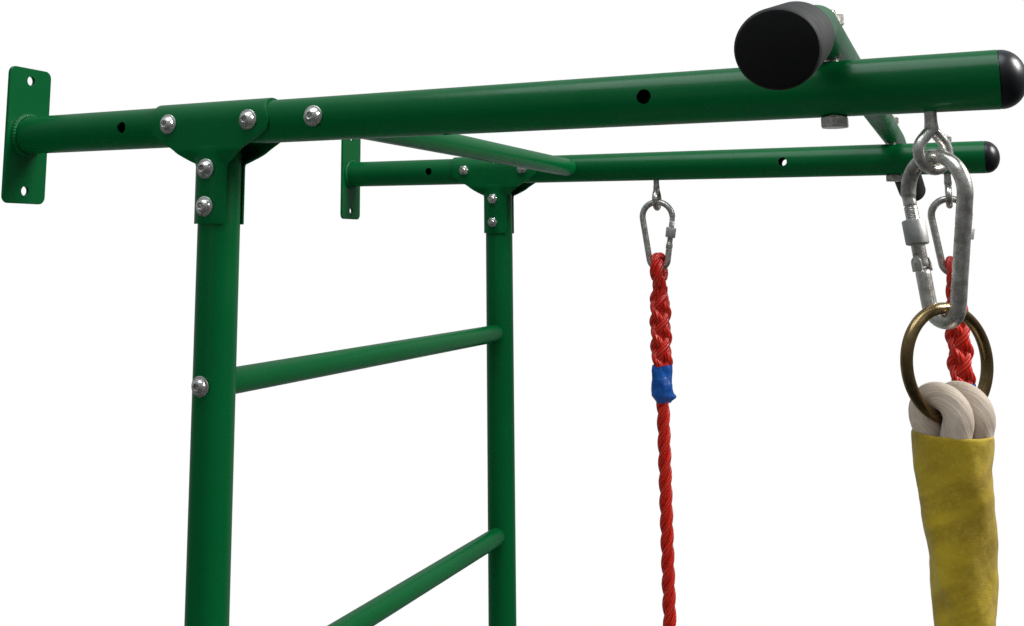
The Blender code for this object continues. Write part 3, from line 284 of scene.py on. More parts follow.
class Look:
    """A Principled material whose nodes are added one by one, and the slot it belongs to."""

    def __init__(self, name, color, roughness, metallic=0.0):
        self.slot = name
        self.material = bpy.data.materials.new(name)
        self.material.use_nodes = True
        self.tree = self.material.node_tree
        self.shader = self.tree.nodes["Principled BSDF"]
        self.color = (*color, 1.0)
        self.material.diffuse_color = self.color
        self.fixed({"Base Color": self.color, "Roughness": roughness, "Metallic": metallic})
        self.normal = None
        self.place = add_node(self.tree, "ShaderNodeTexCoord")

    def fixed(self, values):
        """Constant values on the shader's own sockets."""
        for socket, value in values.items():
            self.shader.inputs[socket].default_value = value

    def noise(self, scale, detail=3.0, rough=0.5, stretch=(1, 1, 1), space="Object"):
        place = {"Vector": self.place.outputs[space], "Scale": stretch}
        vector = add_node(self.tree, "ShaderNodeMapping", place).outputs[0]
        return self.noise_at(vector, scale, detail, rough)

    def noise_at(self, vector, scale, detail, rough):
        inputs = {"Vector": vector, "Scale": scale, "Detail": detail, "Roughness": rough}
        return add_node(self.tree, "ShaderNodeTexNoise", inputs).outputs["Fac"]

    def ranged(self, value, low, high, start=0.3, end=0.7):
        inputs = {"Value": value, "From Min": start, "From Max": end, "To Min": low, "To Max": high}
        return add_node(self.tree, "ShaderNodeMapRange", inputs).outputs[0]

    def math(self, operation, first, second=0.0):
        return add_node(self.tree, "ShaderNodeMath", {0: first, 1: second}, operation=operation).outputs[0]

    def tint(self, other, value, low, high, start=0.3, end=0.7):
        """Mix the base colour towards another one by a value that is brought to a range."""
        factor = self.ranged(value, low, high, start, end)
        base = self.shader.inputs["Base Color"]
        before = base.links[0].from_socket if base.is_linked else self.color
        inputs = {0: factor, 6: before, 7: (*other, 1.0)}
        mix = add_node(self.tree, "ShaderNodeMix", inputs, data_type="RGBA")
        self.tree.links.new(mix.outputs[2], base)

    def roughness(self, value, low, high):
        self.tree.links.new(self.ranged(value, low, high), self.shader.inputs["Roughness"])

    def bump(self, height, strength, distance):
        inputs = {"Height": height, "Strength": strength, "Distance": distance}
        if self.normal is not None:
            inputs["Normal"] = self.normal
        self.normal = add_node(self.tree, "ShaderNodeBump", inputs).outputs[0]
        self.tree.links.new(self.normal, self.shader.inputs["Normal"])

    def slant(self, along, around):
        """A tube's UV length, and the sum of its length and its lap, each times a number."""
        split = add_node(self.tree, "ShaderNodeSeparateXYZ", {0: self.place.outputs["UV"]})
        first = self.math("MULTIPLY", split.outputs[0], along)
        second = self.math("MULTIPLY", split.outputs[1], around)
        return split.outputs[0], self.math("ADD", first, second)

    def uv_lines(self, along, around):
        """Lines along a tube's UV: cycles per metre of length and cycles round the tube."""
        wave = self.math("SINE", self.slant(along * TAU, around * TAU)[1])
        return self.math("MULTIPLY", self.math("ADD", wave, 1.0), 0.5)

    def fibres(self, along, around, grain):
        """Noise drawn out along the lines that uv_lines gives."""
        length, across = self.slant(along, around)
        place = {0: across, 1: self.math("MULTIPLY", length, grain)}
        vector = add_node(self.tree, "ShaderNodeCombineXYZ", place).outputs[0]
        return self.noise_at(vector, 1.0, 4.0, 0.6)


def powder_look():
    look = Look("green_powder_coat", (0.0005, 0.098, 0.025), 0.26)
    look.tint((0.0004, 0.078, 0.018), look.noise(9.0), 0.0, 0.35)
    look.tint((0.0012, 0.125, 0.036), look.noise(160.0, 2.0), 0.0, 0.12, 0.55, 0.8)
    look.roughness(look.noise(30.0, 4.0), 0.20, 0.31)
    look.bump(look.noise(520.0, 1.5), 0.10, 0.0004)
    look.bump(look.noise(90.0, 1.0), 0.04, 0.0010)
    look.fixed({"Specular IOR Level": 0.22})
    return look


def zinc_look(name, bright, dull, rough_low, rough_high):
    look = Look(name, bright, rough_low, 0.82)
    look.slot = "zinc_plate"
    look.tint(dull, look.noise(140.0, 4.0, 0.65), 0.0, 0.8, 0.42, 0.68)
    look.tint(tuple(v * 0.5 for v in dull), look.noise(35.0, 3.0), 0.0, 0.5, 0.5, 0.7)
    look.roughness(look.noise(210.0, 4.0, 0.7), rough_low, rough_high)
    look.bump(look.noise(380.0, 4.0, 0.6), 0.16, 0.0003)
    return look


def brass_look():
    look = Look("yellow_zinc", (0.36, 0.255, 0.115), 0.2, 0.9)
    look.tint((0.15, 0.088, 0.036), look.noise(45.0, 4.0, 0.6), 0.0, 0.85)
    look.tint((0.36, 0.30, 0.17), look.noise(150.0, 3.0), 0.0, 0.4, 0.55, 0.75)
    look.roughness(look.noise(120.0, 3.0), 0.15, 0.33)
    look.bump(look.noise(300.0, 3.0), 0.08, 0.0003)
    return look


def plastic_look(name, color, rough_low, rough_high, grain, strength):
    look = Look(name, color, rough_low)
    look.roughness(look.noise(60.0, 3.0), rough_low, rough_high)
    look.tint(tuple(v * 1.9 for v in color), look.noise(25.0), 0.0, 0.5)
    look.bump(look.noise(grain, 3.0, 0.6), strength, 0.0004)
    return look


def cotton_look(name, color, painted_groove_shade, lay, yarns):
    """Soft white yarns that turn once round the rope in a lay, with painted shade where the yarns sink and
    in the grooves between them.
    """
    look = Look(name, color, 0.88)
    look.slot = "cotton_rope"
    threads = look.uv_lines(yarns / lay, yarns)
    fibres = look.fibres(yarns / lay, yarns, 90.0)
    fine = look.fibres(3 * yarns / lay, 3 * yarns, 160.0)
    # Painted shade: darker where the yarn bump sinks and in the grooves between the yarns.
    look.tint(painted_groove_shade, fibres, 0.55, 0.0, 0.32, 0.56)
    look.tint(painted_groove_shade, look.math("MULTIPLY", threads, fibres), 0.45, 0.0, 0.0, 0.25)
    look.tint(tuple(v * 0.78 for v in color), look.noise(30.0, 3.0), 0.0, 0.35)
    look.tint(tuple(min(0.9, v * 1.2) for v in color), fine, 0.0, 0.4, 0.5, 0.75)
    look.bump(fibres, 0.55, 0.0010)
    look.bump(fine, 0.4, 0.0005)
    look.fixed({"Sheen Weight": 0.2, "Sheen Roughness": 0.5})
    return look


def red_look():
    """Satin fibres in strands whose yarns turn against the lay, with painted shade between the yarns and
    painted highlights on their crests.
    """
    look = Look("red_rope", (0.60, 0.014, 0.004), 0.36)
    yarns = look.uv_lines(-95.0, 7.0)
    fibres = look.fibres(-95.0, 7.0, 120.0)
    fine = look.fibres(-420.0, 31.0, 240.0)
    # Painted shade in the grooves between the yarns.
    look.tint((0.23, 0.004, 0.0015), yarns, 0.75, 0.0, 0.0, 0.5)
    # Painted highlight: dotted light on the crests of the yarns.
    bright = look.math("MULTIPLY", yarns, fibres)
    look.tint((0.86, 0.060, 0.020), bright, 0.0, 0.75, 0.42, 0.68)
    look.tint((0.34, 0.006, 0.002), fine, 0.0, 0.35, 0.5, 0.7)
    look.bump(yarns, 0.8, 0.0011)
    look.bump(fine, 0.35, 0.0004)
    return look


def cloth_look():
    look = Look("yellow_cloth", (0.50, 0.36, 0.014), 0.82)
    warp = look.uv_lines(1150.0, 0.0)
    weft = look.uv_lines(0.0, 190.0)
    weave = look.math("ADD", look.math("MULTIPLY", warp, 0.5), look.math("MULTIPLY", weft, 0.5))
    look.tint((0.25, 0.16, 0.006), look.noise(26.0, 4.0), 0.0, 0.6)
    # Painted shade: darker diagonal bands along the lay of the twisted rope under the cloth, for the
    # shading of its lumps.
    lay = look.fibres(34.0, 3.0, 14.0)
    look.tint((0.21, 0.13, 0.005), lay, 0.0, 0.75, 0.46, 0.64)
    look.tint((0.56, 0.45, 0.07), look.noise(420.0, 3.0), 0.0, 0.35, 0.5, 0.8)
    look.bump(weave, 0.35, 0.0003)
    look.bump(look.noise(60.0, 3.0), 0.5, 0.003)
    look.bump(look.noise(260.0, 3.0), 0.4, 0.0008)
    look.fixed({"Sheen Weight": 0.15, "Sheen Roughness": 0.4})
    return look


def tape_look():
    look = Look("blue_tape", (0.006, 0.085, 0.36), 0.34)
    look.tint((0.004, 0.035, 0.18), look.noise(70.0, 4.0), 0.0, 0.6)
    look.roughness(look.noise(150.0, 3.0), 0.3, 0.5)
    look.bump(look.noise(120.0, 4.0, 0.6), 0.45, 0.0012)
    return look


def wood_look():
    look = Look("ring_wood", (0.50, 0.31, 0.14), 0.4)
    grain = look.noise(60.0, 5.0, 0.65, (0.08, 1.0, 1.0), "UV")
    fine = look.noise(14.0, 3.0, 0.6, (60.0, 4.0, 1.0), "UV")
    look.tint((0.33, 0.18, 0.07), grain, 0.0, 0.8)
    look.tint((0.60, 0.42, 0.22), fine, 0.0, 0.35, 0.5, 0.8)
    look.bump(fine, 0.08, 0.0004)
    look.fixed({"Coat Weight": 0.4, "Coat Roughness": 0.18})
    return look


GREEN = powder_look()
ZINC = zinc_look("zinc_plate", (0.83, 0.81, 0.77), (0.44, 0.40, 0.34), 0.18, 0.38)
BRIGHT = zinc_look("bright_zinc", (0.86, 0.85, 0.82), (0.60, 0.58, 0.55), 0.14, 0.28)
SLEEVE = zinc_look("dull_zinc", (0.62, 0.62, 0.60), (0.50, 0.50, 0.48), 0.42, 0.58)
BRASS = brass_look()
BLACK = plastic_look("black_plastic", (0.006, 0.0065, 0.008), 0.26, 0.40, 420.0, 0.05)
FOAM = plastic_look("black_foam", (0.0035, 0.0035, 0.0038), 0.62, 0.8, 900.0, 0.35)
RUBBER = plastic_look("black_rubber", (0.008, 0.008, 0.009), 0.5, 0.7, 500.0, 0.2)
COTTON = cotton_look("cotton_rope", (0.62, 0.52, 0.42), (0.27, 0.18, 0.12), ROPE_LAY, 46)
TWINE = cotton_look("cotton_twine", (0.60, 0.51, 0.41), (0.27, 0.19, 0.13), 8 * MM, 5)
RED = red_look()
CLOTH = cloth_look()
BLUE = tape_look()
WOOD = wood_look()


# Mesh helpers

def value_at(rule, angle):
    return rule(angle) if callable(rule) else rule


def lattice(bm, rings, run, corners, closed):
    """Join rings of points with smooth faces; a face's UV is its run length and share of the lap.

    Corners are the (ring, step) pairs of a face in their order. Open ends are capped.
    """
    layer = bm.loops.layers.uv.verify()
    grid = [[bm.verts.new(point) for point in ring] for ring in rings]
    segments = len(grid[0])
    for n in range(len(grid) if closed else len(grid) - 1):
        pair = (grid[n], grid[(n + 1) % len(grid)])
        for k in range(segments):
            face = bm.faces.new([pair[a][(k + b) % segments] for a, b in corners])
            face.smooth = True
            for loop, (a, b) in zip(face.loops, corners):
                loop[layer].uv = (run[n + a], (k + b) / segments)
    if not closed:
        bm.faces.new(list(reversed(grid[0]))).smooth = True
        bm.faces.new(grid[-1]).smooth = True


def spin(bm, rings, segments, place=None, closed=False):
    """Join rings of (radius, height); either may be a function of the angle.

    The first and last ring are capped, unless the rings form a closed section.
    """
    place = place or Matrix.Identity(4)
    made = []
    run = [0.0]
    for number, (radius, height) in enumerate(rings):
        ring = []
        for n in range(segments):
            angle = TAU * n / segments
            reach = value_at(radius, angle)
            point = Vector((reach * math.cos(angle), reach * math.sin(angle), value_at(height, angle)))
            ring.append(place @ point)
        made.append(ring)
        if number:
            before = rings[number - 1]
            run.append(run[-1] + math.hypot(value_at(radius, 0) - value_at(before[0], 0),
                                            value_at(height, 0) - value_at(before[1], 0)))
    lattice(bm, made, run + [run[-1]], ((0, 0), (1, 0), (1, 1), (0, 1)), closed)


def skin(bm, layers):
    """Close a stack of loops of the same length with smooth sides and flat ends."""
    for lower, upper in zip(layers, layers[1:]):
        for n in range(len(lower)):
            m = (n + 1) % len(lower)
            bm.faces.new((lower[n], lower[m], upper[m], upper[n])).smooth = True
    bm.faces.new(list(reversed(layers[0])))
    bm.faces.new(layers[-1])


def circle(radius, count):
    return [(radius * math.cos(TAU * n / count), radius * math.sin(TAU * n / count)) for n in range(count)]


def turn_to(axis):
    return UP.rotation_difference(Vector(axis)).to_matrix().to_4x4()


def at(point, axis=(0, 0, 1)):
    """Placement whose origin is the point and whose Z looks along the axis."""
    return Matrix.Translation(point) @ turn_to(axis)


def frames_along(points, cyclic, side=None):
    """Tangents and untwisted sideways directions along a line; side is the first direction."""
    count = len(points)
    tangents = []
    for n in range(count):
        before = points[n - 1] if cyclic or n else points[n]
        after = points[(n + 1) % count] if cyclic or n < count - 1 else points[n]
        tangents.append((after - before).normalized())
    side = (side or tangents[0].orthogonal()).normalized()
    sides = [side]
    for n in range(1, count):
        turn = tangents[n - 1].rotation_difference(tangents[n])
        side = turn @ side
        side = (side - tangents[n] * side.dot(tangents[n])).normalized()
        sides.append(side)
    drift = 0.0
    if cyclic:
        last = tangents[-1].rotation_difference(tangents[0]) @ sides[-1]
        drift = math.atan2(tangents[0].dot(last.cross(sides[0])), last.dot(sides[0]))
    return tangents, sides, drift


def runs_along(line):
    """Length of a line up to each of its points."""
    run = [0.0]
    for a, b in zip(line, line[1:]):
        run.append(run[-1] + (b - a).length)
    return run


def sweep(bm, points, radius, segments, cyclic=False, side=None):
    """Tube along points; radius may be a function of the number, run length and angle."""
    tangents, sides, drift = frames_along(points, cyclic, side)
    run = runs_along(points + [points[0]] if cyclic else points)
    rings = []
    for n, point in enumerate(points):
        across = sides[n]
        up = tangents[n].cross(across)
        twist = drift * run[n] / run[-1]
        ring = []
        for k in range(segments):
            a = TAU * k / segments
            r = radius(n, run[n], a) if callable(radius) else radius
            ring.append(point + (across * math.cos(a + twist) + up * math.sin(a + twist)) * r)
        rings.append(ring)
    lattice(bm, rings, run, ((0, 0), (0, 1), (1, 1), (1, 0)), cyclic)


def spread(points, step, cyclic=False):
    """Points at an even distance along a line."""
    line = points + [points[0]] if cyclic else points
    run = runs_along(line)
    count = max(2, round(run[-1] / step))
    made = []
    seat = 0
    for n in range(count if cyclic else count + 1):
        goal = run[-1] * n / count
        while seat < len(run) - 2 and run[seat + 1] < goal:
            seat += 1
        length = run[seat + 1] - run[seat]
        share = (goal - run[seat]) / length if length else 0.0
        made.append(line[seat].lerp(line[seat + 1], min(1.0, max(0.0, share))))
    return made


def piece(name, bm, look, body, nodes=(), sharp=35):
    """Make a piece of the visual model that rides on a body and may stand for CAD nodes."""
    bmesh.ops.recalc_face_normals(bm, faces=bm.faces)
    mesh = new_mesh(name, bm)
    mesh.materials.append(look.material)
    mesh.set_sharp_from_angle(angle=math.radians(sharp))
    made = new_object(name, mesh)
    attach(made, body)
    if nodes:
        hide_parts(*nodes)
    return made


def applied(thing):
    """Apply the modifiers of an object to its mesh."""
    bpy.context.view_layer.update()
    depsgraph = bpy.context.evaluated_depsgraph_get()
    mesh = bpy.data.meshes.new_from_object(thing.evaluated_get(depsgraph))
    thing.modifiers.clear()
    thing.data = mesh


def cut(thing, rods):
    """Cut round holes, given as (start, end, radius), into a piece."""
    bm = bmesh.new()
    for start, end, radius in rods:
        start, end = Vector(start), Vector(end)
        spin(bm, [(radius, (end - start).length), (radius, 0.0)], 28, at(start, (end - start).normalized()))
    bmesh.ops.recalc_face_normals(bm, faces=bm.faces)
    name = thing.name + "_cut"
    tool = new_object(name, new_mesh(name, bm))
    step = thing.modifiers.new("holes", "BOOLEAN")
    step.operation = "DIFFERENCE"
    step.solver = "EXACT"
    step.object = tool
    applied(thing)
    bpy.data.objects.remove(tool, do_unlink=True)
    thing.data.set_sharp_from_angle(angle=math.radians(35))


def hexagon(flats):
    """Radius of a hexagon as a function of the angle."""
    def radius(angle):
        local = (angle % (TAU / 6)) - TAU / 12
        return flats / 2 / math.cos(local)
    return radius


def clipped(rule, limit):
    return lambda angle: min(value_at(rule, angle), limit)


def add_hex(bm, flats, low, high, place, bore=0.0):
    """Hexagon nut or head with chamfered corners, from height low to high."""
    shape = hexagon(flats)
    corner = flats / math.sqrt(3)
    edge = (corner - flats / 2) * 0.62
    rings = [(clipped(shape, flats / 2 * 0.97), high), (clipped(shape, flats / 2), high)]
    for share in (0.35, 0.7, 1.0):
        rings.append((clipped(shape, flats / 2 + (corner - flats / 2) * share), high - edge * share))
    for share in (1.0, 0.7, 0.35):
        rings.append((clipped(shape, flats / 2 + (corner - flats / 2) * share), low + edge * share))
    rings += [(clipped(shape, flats / 2), low), (clipped(shape, flats / 2 * 0.97), low)]
    if bore:
        rings = [(bore, high - 0.5 * MM), (bore * 1.12, high)] + rings
        rings += [(bore * 1.12, low), (bore, low + 0.5 * MM)]
    spin(bm, rings, 72, place, closed=bool(bore))


def add_lock_nut(bm, place):
    """M8 nut with a turned collar that holds its plastic ring."""
    flats, height = M8_NUT
    add_hex(bm, flats, 0.0, height - 2 * MM, place)
    low = height - 2.2 * MM
    spin(bm, [(4.7 * MM, height), (5.5 * MM, height), (6.0 * MM, height - 0.5 * MM), (6.1 * MM, low),
              (4.7 * MM, low)], 40, place, closed=True)


def add_thread(bm, radius, length, place, pitch=1.25 * MM, depth=0.62 * MM):
    """Threaded rod that rises from the placement."""
    def section(level):
        def rule(angle):
            phase = (level / pitch + angle / TAU) % 1.0
            fade = min(1.0, max(0.0, (length - level) / (1.5 * MM)))
            return (radius - depth * abs(2 * phase - 1)) * (0.86 + 0.14 * fade)
        return rule
    count = max(4, int(length / pitch * 5))
    rings = [(section(length * n / count), length * n / count) for n in range(count, -1, -1)]
    spin(bm, rings, 24, place)


def add_button_head(bm, place):
    """Flanged button head with a hexagon socket; its seat is the placement."""
    key = hexagon(5 * MM)
    rings = [(clipped(key, 2.2 * MM), 3.4 * MM), (key, 3.8 * MM), (key, 6.4 * MM), (3.3 * MM, 6.85 * MM)]
    low = math.radians(80)
    high = math.radians(28)
    for step in range(7):
        angle = high + (low - high) * step / 6
        lift = (math.cos(angle) - math.cos(low)) / (math.cos(high) - math.cos(low))
        rings.append((7.2 * MM * math.sin(angle) / math.sin(low), 2.6 * MM + 4.3 * MM * lift))
    rings += [(7.3 * MM, 2.2 * MM), (7.5 * MM, 1.9 * MM), (8.9 * MM, 1.7 * MM), (9.4 * MM, 1.3 * MM),
              (9.4 * MM, 0.2 * MM), (9.2 * MM, 0.0)]
    spin(bm, rings, 48, place)


def button_bolt(name, seat, side, shank, nodes=(), nut_at=None):
    """Bolt with a button head, a plain shank and, where it has one, a nut and a thread end."""
    bm = bmesh.new()
    outward = Vector((0, side, 0))
    seat = Vector(seat)
    add_button_head(bm, at(seat, outward))
    spin(bm, [(M8, 0.0), (M8, -shank)], 20, at(seat, outward))
    if nut_at is not None:
        inward = at(seat - outward * nut_at, -outward)
        add_lock_nut(bm, inward)
        add_thread(bm, M8, M8_NUT[1] + 2.5 * MM, inward)
    piece(name, bm, BRIGHT, "frame", nodes)


# Tubes of the frame

def rung_levels():
    return [TOP_RUNG_Z - RUNG_PITCH * n for n in range(RUNG_COUNT)]


def make_tube(name, start, end):
    start, end = Vector(start), Vector(end)
    length = (end - start).length
    inner = ARM_RADIUS - TUBE_WALL
    edge = 0.35 * MM
    bm = bmesh.new()
    spin(bm, [(ARM_RADIUS - edge, length), (ARM_RADIUS, length - edge), (ARM_RADIUS, edge),
              (ARM_RADIUS - edge, 0.0), (inner, 0.0), (inner, length)],
         72, at(start, (end - start).normalized()), closed=True)
    return piece(name, bm, GREEN, "frame", [name])


def cross_hole(x, y, z, radius, reach=HOLE_REACH):
    """Hole for cut that runs through along Y."""
    return (x, y - reach, z), (x, y + reach, z), radius


def make_arm(name, y, through):
    arm = make_tube(name, (PLATE_THICKNESS + GAP, y, 0), (ARM_END, y, 0))
    holes = [cross_hole(x, y, 0, SPARE_RADIUS) for x in SPARE_HOLES]
    holes += [cross_hole(x, y, 0, M8_HOLE)
              for x in (CROSS_TUBE_X, POST_X - BRACKET_BOLTS, POST_X + BRACKET_BOLTS)]
    holes.append(((BAR_X, y, -HOLE_REACH), (BAR_X, y, HOLE_REACH), M10 + 0.5 * MM))
    holes.append(((OUTER_X, y, -HOLE_REACH), (OUTER_X, y, HOLE_REACH if through else 0), M8_HOLE))
    holes.append(((INNER_X, y, -HOLE_REACH), (INNER_X, y, 0), M8_HOLE))
    cut(arm, holes)


def make_post(name, y):
    post = make_tube(name, (POST_X, y, FLOOR_Z + FOOT_SOLE + GAP), (POST_X, y, -ARM_RADIUS - GAP))
    levels = rung_levels() + [-drop for drop in POST_BOLTS]
    cut(post, [cross_hole(POST_X, y, z, M8_HOLE) for z in levels])


def saddle(radius, reach):
    """End of a tube that is coped to an arm or a post across it."""
    return lambda angle: reach - math.sqrt((ARM_RADIUS + GAP) ** 2 - (radius * math.cos(angle)) ** 2)


def coped_tube(name, node, x, z, edge=0.0):
    """Tube between the two sides whose ends are coped to a post or an arm."""
    half = ARM_SPACING / 2
    core = RUNG_RADIUS * 0.5
    end = saddle(RUNG_RADIUS, half)
    rings = [(core, saddle(core, half)), (RUNG_RADIUS - edge, end)]
    if edge:
        rings.append((RUNG_RADIUS, lambda a: end(a) - edge))
    rings += [(radius, lambda a, rise=rise: -rise(a)) for radius, rise in reversed(rings)]
    bm = bmesh.new()
    spin(bm, rings, 48, at((x, half, z), (0, 1, 0)))
    piece(name, bm, GREEN, "frame", [node])


def make_rung(number, z):
    """Rung with the screws that hold its ends."""
    name = "rung_%d" % number
    coped_tube(name + "_tube", name, POST_X, z, 0.4 * MM)
    for side, label, y in SIDES:
        button_bolt("%s_%s_screw" % (name, label), (POST_X, y + side * (ARM_RADIUS + GAP), z), side,
                    2 * ARM_RADIUS + 8 * MM)


def make_cross_tube():
    coped_tube("cross_tube_body", "cross_tube", CROSS_TUBE_X, 0.0)
    for side, label, y in SIDES:
        node = label + "_cross_tube_bolt"
        button_bolt(node + "_look", (CROSS_TUBE_X, y + side * (ARM_RADIUS + GAP), 0), side,
                    2 * ARM_RADIUS + 12 * MM, [node])


def make_wall_plate(name, y):
    """Plate with softened edges, and a rippled weld bead round the arm."""
    bm = bmesh.new()
    steps = 8
    half_y = PLATE_WIDTH / 2 - PLATE_CORNER
    half_z = PLATE_HEIGHT / 2 - PLATE_CORNER
    outline = []
    corners = ((half_y, half_z), (-half_y, half_z), (-half_y, -half_z), (half_y, -half_z))
    for quarter, (cy, cz) in enumerate(corners):
        for step in range(steps + 1):
            angle = (quarter + step / steps) * TAU / 4
            outline.append((cy, cz, math.cos(angle), math.sin(angle)))
    edge = 0.7 * MM
    levels = ((0.0, edge), (edge, 0.0), (PLATE_THICKNESS - edge, 0.0), (PLATE_THICKNESS, edge))
    rings = []
    for x, inset in levels:
        r = PLATE_CORNER - inset
        rings.append([bm.verts.new((x, y + cy + r * ca, cz + r * sa)) for cy, cz, ca, sa in outline])
    skin(bm, rings)
    plate = piece(name + "_look", bm, GREEN, "frame", [name])
    cut(plate, [((-10 * MM, y, z), (20 * MM, y, z), PLATE_HOLE_RADIUS)
                for z in (-PLATE_HOLE_OFFSET, PLATE_HOLE_OFFSET)])
    bead = bmesh.new()
    ring_radius = ARM_RADIUS + 0.9 * MM
    path = [Vector((PLATE_THICKNESS + 0.7 * MM, y + a, b)) for a, b in circle(ring_radius, 180)]

    def ripple(number, run, angle):
        wave = 0.5 + 0.5 * math.sin(run / (3.1 * MM) * TAU)
        return (2.9 + 0.45 * wave + 0.35 * noise.noise(Vector((run * 90, y, 3.0)))) * MM
    sweep(bead, path, ripple, 16, cyclic=True)
    piece(name + "_weld", bead, GREEN, "frame")


def make_arm_cap(name, y):
    """Glossy domed cap with a thin rim, plugged into the arm."""
    bm = bmesh.new()
    bore = ARM_RADIUS - TUBE_WALL - GAP
    rings = []
    for step in range(14):
        angle = TAU / 4 * (0.03 + 0.97 * step / 13)
        rings.append(((ARM_RADIUS - 0.1 * MM) * math.sin(angle), CAP_DOME * math.cos(angle) ** 0.92))
    rings += [(ARM_RADIUS, 0.0), (bore, 0.0), (bore - 0.6 * MM, -18 * MM), (bore - 2.5 * MM, -18 * MM),
              (bore - 2.5 * MM, -1 * MM), (1 * MM, 8 * MM)]
    spin(bm, rings, 64, at((ARM_END + GAP, y, 0), (1, 0, 0)))
    piece(name + "_look", bm, BLACK, "frame", [name])


def smooth_step(value):
    value = min(1.0, max(0.0, value))
    return value * value * (3 - 2 * value)


def flank_half(drop):
    """Half width of the T bracket's flank at a drop below the arm's axis."""
    if drop <= FLANK_DROP:
        return BRACKET_HALF - 1.5 * MM * max(0.0, drop) / FLANK_DROP
    corner = EAR_HALF + 2 * MM
    if drop < NECK_DROP:
        share = (drop - FLANK_DROP) / (NECK_DROP - FLANK_DROP)
        return BRACKET_HALF - 1.5 * MM + (corner - BRACKET_HALF + 1.5 * MM) * share
    ease = min(1.0, (drop - NECK_DROP) / (4 * MM))
    return EAR_HALF + 2 * MM * (1 - ease) ** 2


def bracket_rows(y):
    """Rows of points over one flank, across the arm and down the other flank."""
    columns = 24
    inner = ARM_RADIUS + GAP
    fillet = NECK_DROP + 4 * MM
    drops = [EAR_BOTTOM] + [fillet + (EAR_BOTTOM - fillet) * n / 6 for n in range(5, -1, -1)]
    drops += [NECK_DROP + MM * n for n in (3, 2, 1)]
    drops += [FLANK_DROP + (NECK_DROP - FLANK_DROP) * n / 26 for n in range(26, 0, -1)]
    drops += [FLANK_DROP, 0.0]
    flanks = []
    for side in (-1, 1):
        flank = []
        for drop in drops:
            row = []
            for k in range(columns + 1):
                x = flank_half(drop) * (2 * k / columns - 1)
                hug = inner - math.sqrt(inner ** 2 - min(abs(x), 0.85 * inner) ** 2)
                ledge = 0.5 * MM * smooth_step((drop - 23 * MM) / (1.2 * MM))
                ledge *= smooth_step(1.6 - abs(x) / (8 * MM))
                reach = inner + ledge - 0.8 * hug * smooth_step((drop - 25 * MM) / (13 * MM))
                row.append(Vector((POST_X + x, y + side * reach, -drop)))
            flank.append(row)
        flanks.append(flank)
    bend = []
    for n in range(1, 24):
        angle = math.pi * n / 24
        wallward = BRACKET_HALF + 3 * MM * math.sin(angle)
        outward = BRACKET_HALF - 10 * MM * math.sin(angle)
        bend.append([Vector((POST_X - wallward + (wallward + outward) * k / columns,
                             y - inner * math.cos(angle), inner * math.sin(angle)))
                     for k in range(columns + 1)])
    return flanks[0] + bend + list(reversed(flanks[1]))


def make_bracket(name, y):
    """Pressed sheet folded over the arm, with ears that hug the post."""
    bm = bmesh.new()
    verts = [[bm.verts.new(point) for point in row] for row in bracket_rows(y)]
    for lower, upper in zip(verts, verts[1:]):
        for k in range(len(lower) - 1):
            bm.faces.new((lower[k], lower[k + 1], upper[k + 1], upper[k])).smooth = True
    bracket = piece(name + "_look", bm, GREEN, "frame", [name])
    centre = Vector((POST_X, y, 0))
    first = bracket.data.polygons[len(bracket.data.polygons) // 2]
    outward = first.normal.dot(first.center - centre) > 0
    fold = bracket.modifiers.new("sheet", "SOLIDIFY")
    fold.thickness = SHEET
    fold.offset = 1.0 if outward else -1.0
    fold.use_even_offset = True
    applied(bracket)
    spots = [(POST_X - BRACKET_BOLTS, 0), (POST_X + BRACKET_BOLTS, 0)]
    spots += [(POST_X, -drop) for drop in POST_BOLTS]
    cut(bracket, [cross_hole(x, y, z, M8_HOLE, ARM_RADIUS * 2.5) for x, z in spots])
    soft = bracket.modifiers.new("edges", "BEVEL")
    soft.width = 0.7 * MM
    soft.segments = 2
    soft.limit_method = "ANGLE"
    soft.angle_limit = math.radians(50)
    applied(bracket)
    bracket.data.set_sharp_from_angle(angle=math.radians(40))


def make_bracket_bolts(side, y, label):
    reach = ARM_RADIUS + GAP + SHEET + GAP
    spots = [("arm_bolt_1", POST_X - BRACKET_BOLTS, 0), ("arm_bolt_2", POST_X + BRACKET_BOLTS, 0)]
    spots += [("post_bolt_%d" % number, POST_X, -drop) for number, drop in enumerate(POST_BOLTS, 1)]
    for name, x, z in spots:
        node = label + "_" + name
        button_bolt(node + "_look", (x, y + side * reach, z), side, 2 * (reach - GAP), [node], 2 * reach)


def make_foot(name, y):
    """Rubber cup with two grooves round it."""
    bm = bmesh.new()
    bore = ARM_RADIUS + GAP
    rings = [(1 * MM, FOOT_SOLE), (bore, FOOT_SOLE), (bore, FOOT_HEIGHT - 0.6 * MM),
             (bore + 0.6 * MM, FOOT_HEIGHT), (FOOT_RADIUS - 1.4 * MM, FOOT_HEIGHT),
             (FOOT_RADIUS - 0.9 * MM, FOOT_HEIGHT - 1 * MM)]
    for level in (24, 16):
        z = level * MM
        rings += [(FOOT_RADIUS - 0.3 * MM, z + 1.2 * MM), (FOOT_RADIUS - 1.3 * MM, z + 0.5 * MM),
                  (FOOT_RADIUS - 1.3 * MM, z - 0.5 * MM), (FOOT_RADIUS - 0.1 * MM, z - 1.2 * MM)]
    rings += [(FOOT_RADIUS + 1.2 * MM, 2 * MM), (FOOT_RADIUS + 1.5 * MM, 1 * MM),
              (FOOT_RADIUS + 0.7 * MM, 0.0), (1 * MM, 0.0)]
    spin(bm, rings, 56, at((POST_X, y, FLOOR_Z)))
    piece(name + "_look", bm, RUBBER, "frame", [name])


# Pull-up bar

def bar_point(y, droop):
    """Point of the bar at y beyond the middle; the ends droop and lean outward."""
    return BAR_X + droop * math.sin(BAR_ROLL), y, BAR_Z - droop * math.cos(BAR_ROLL)


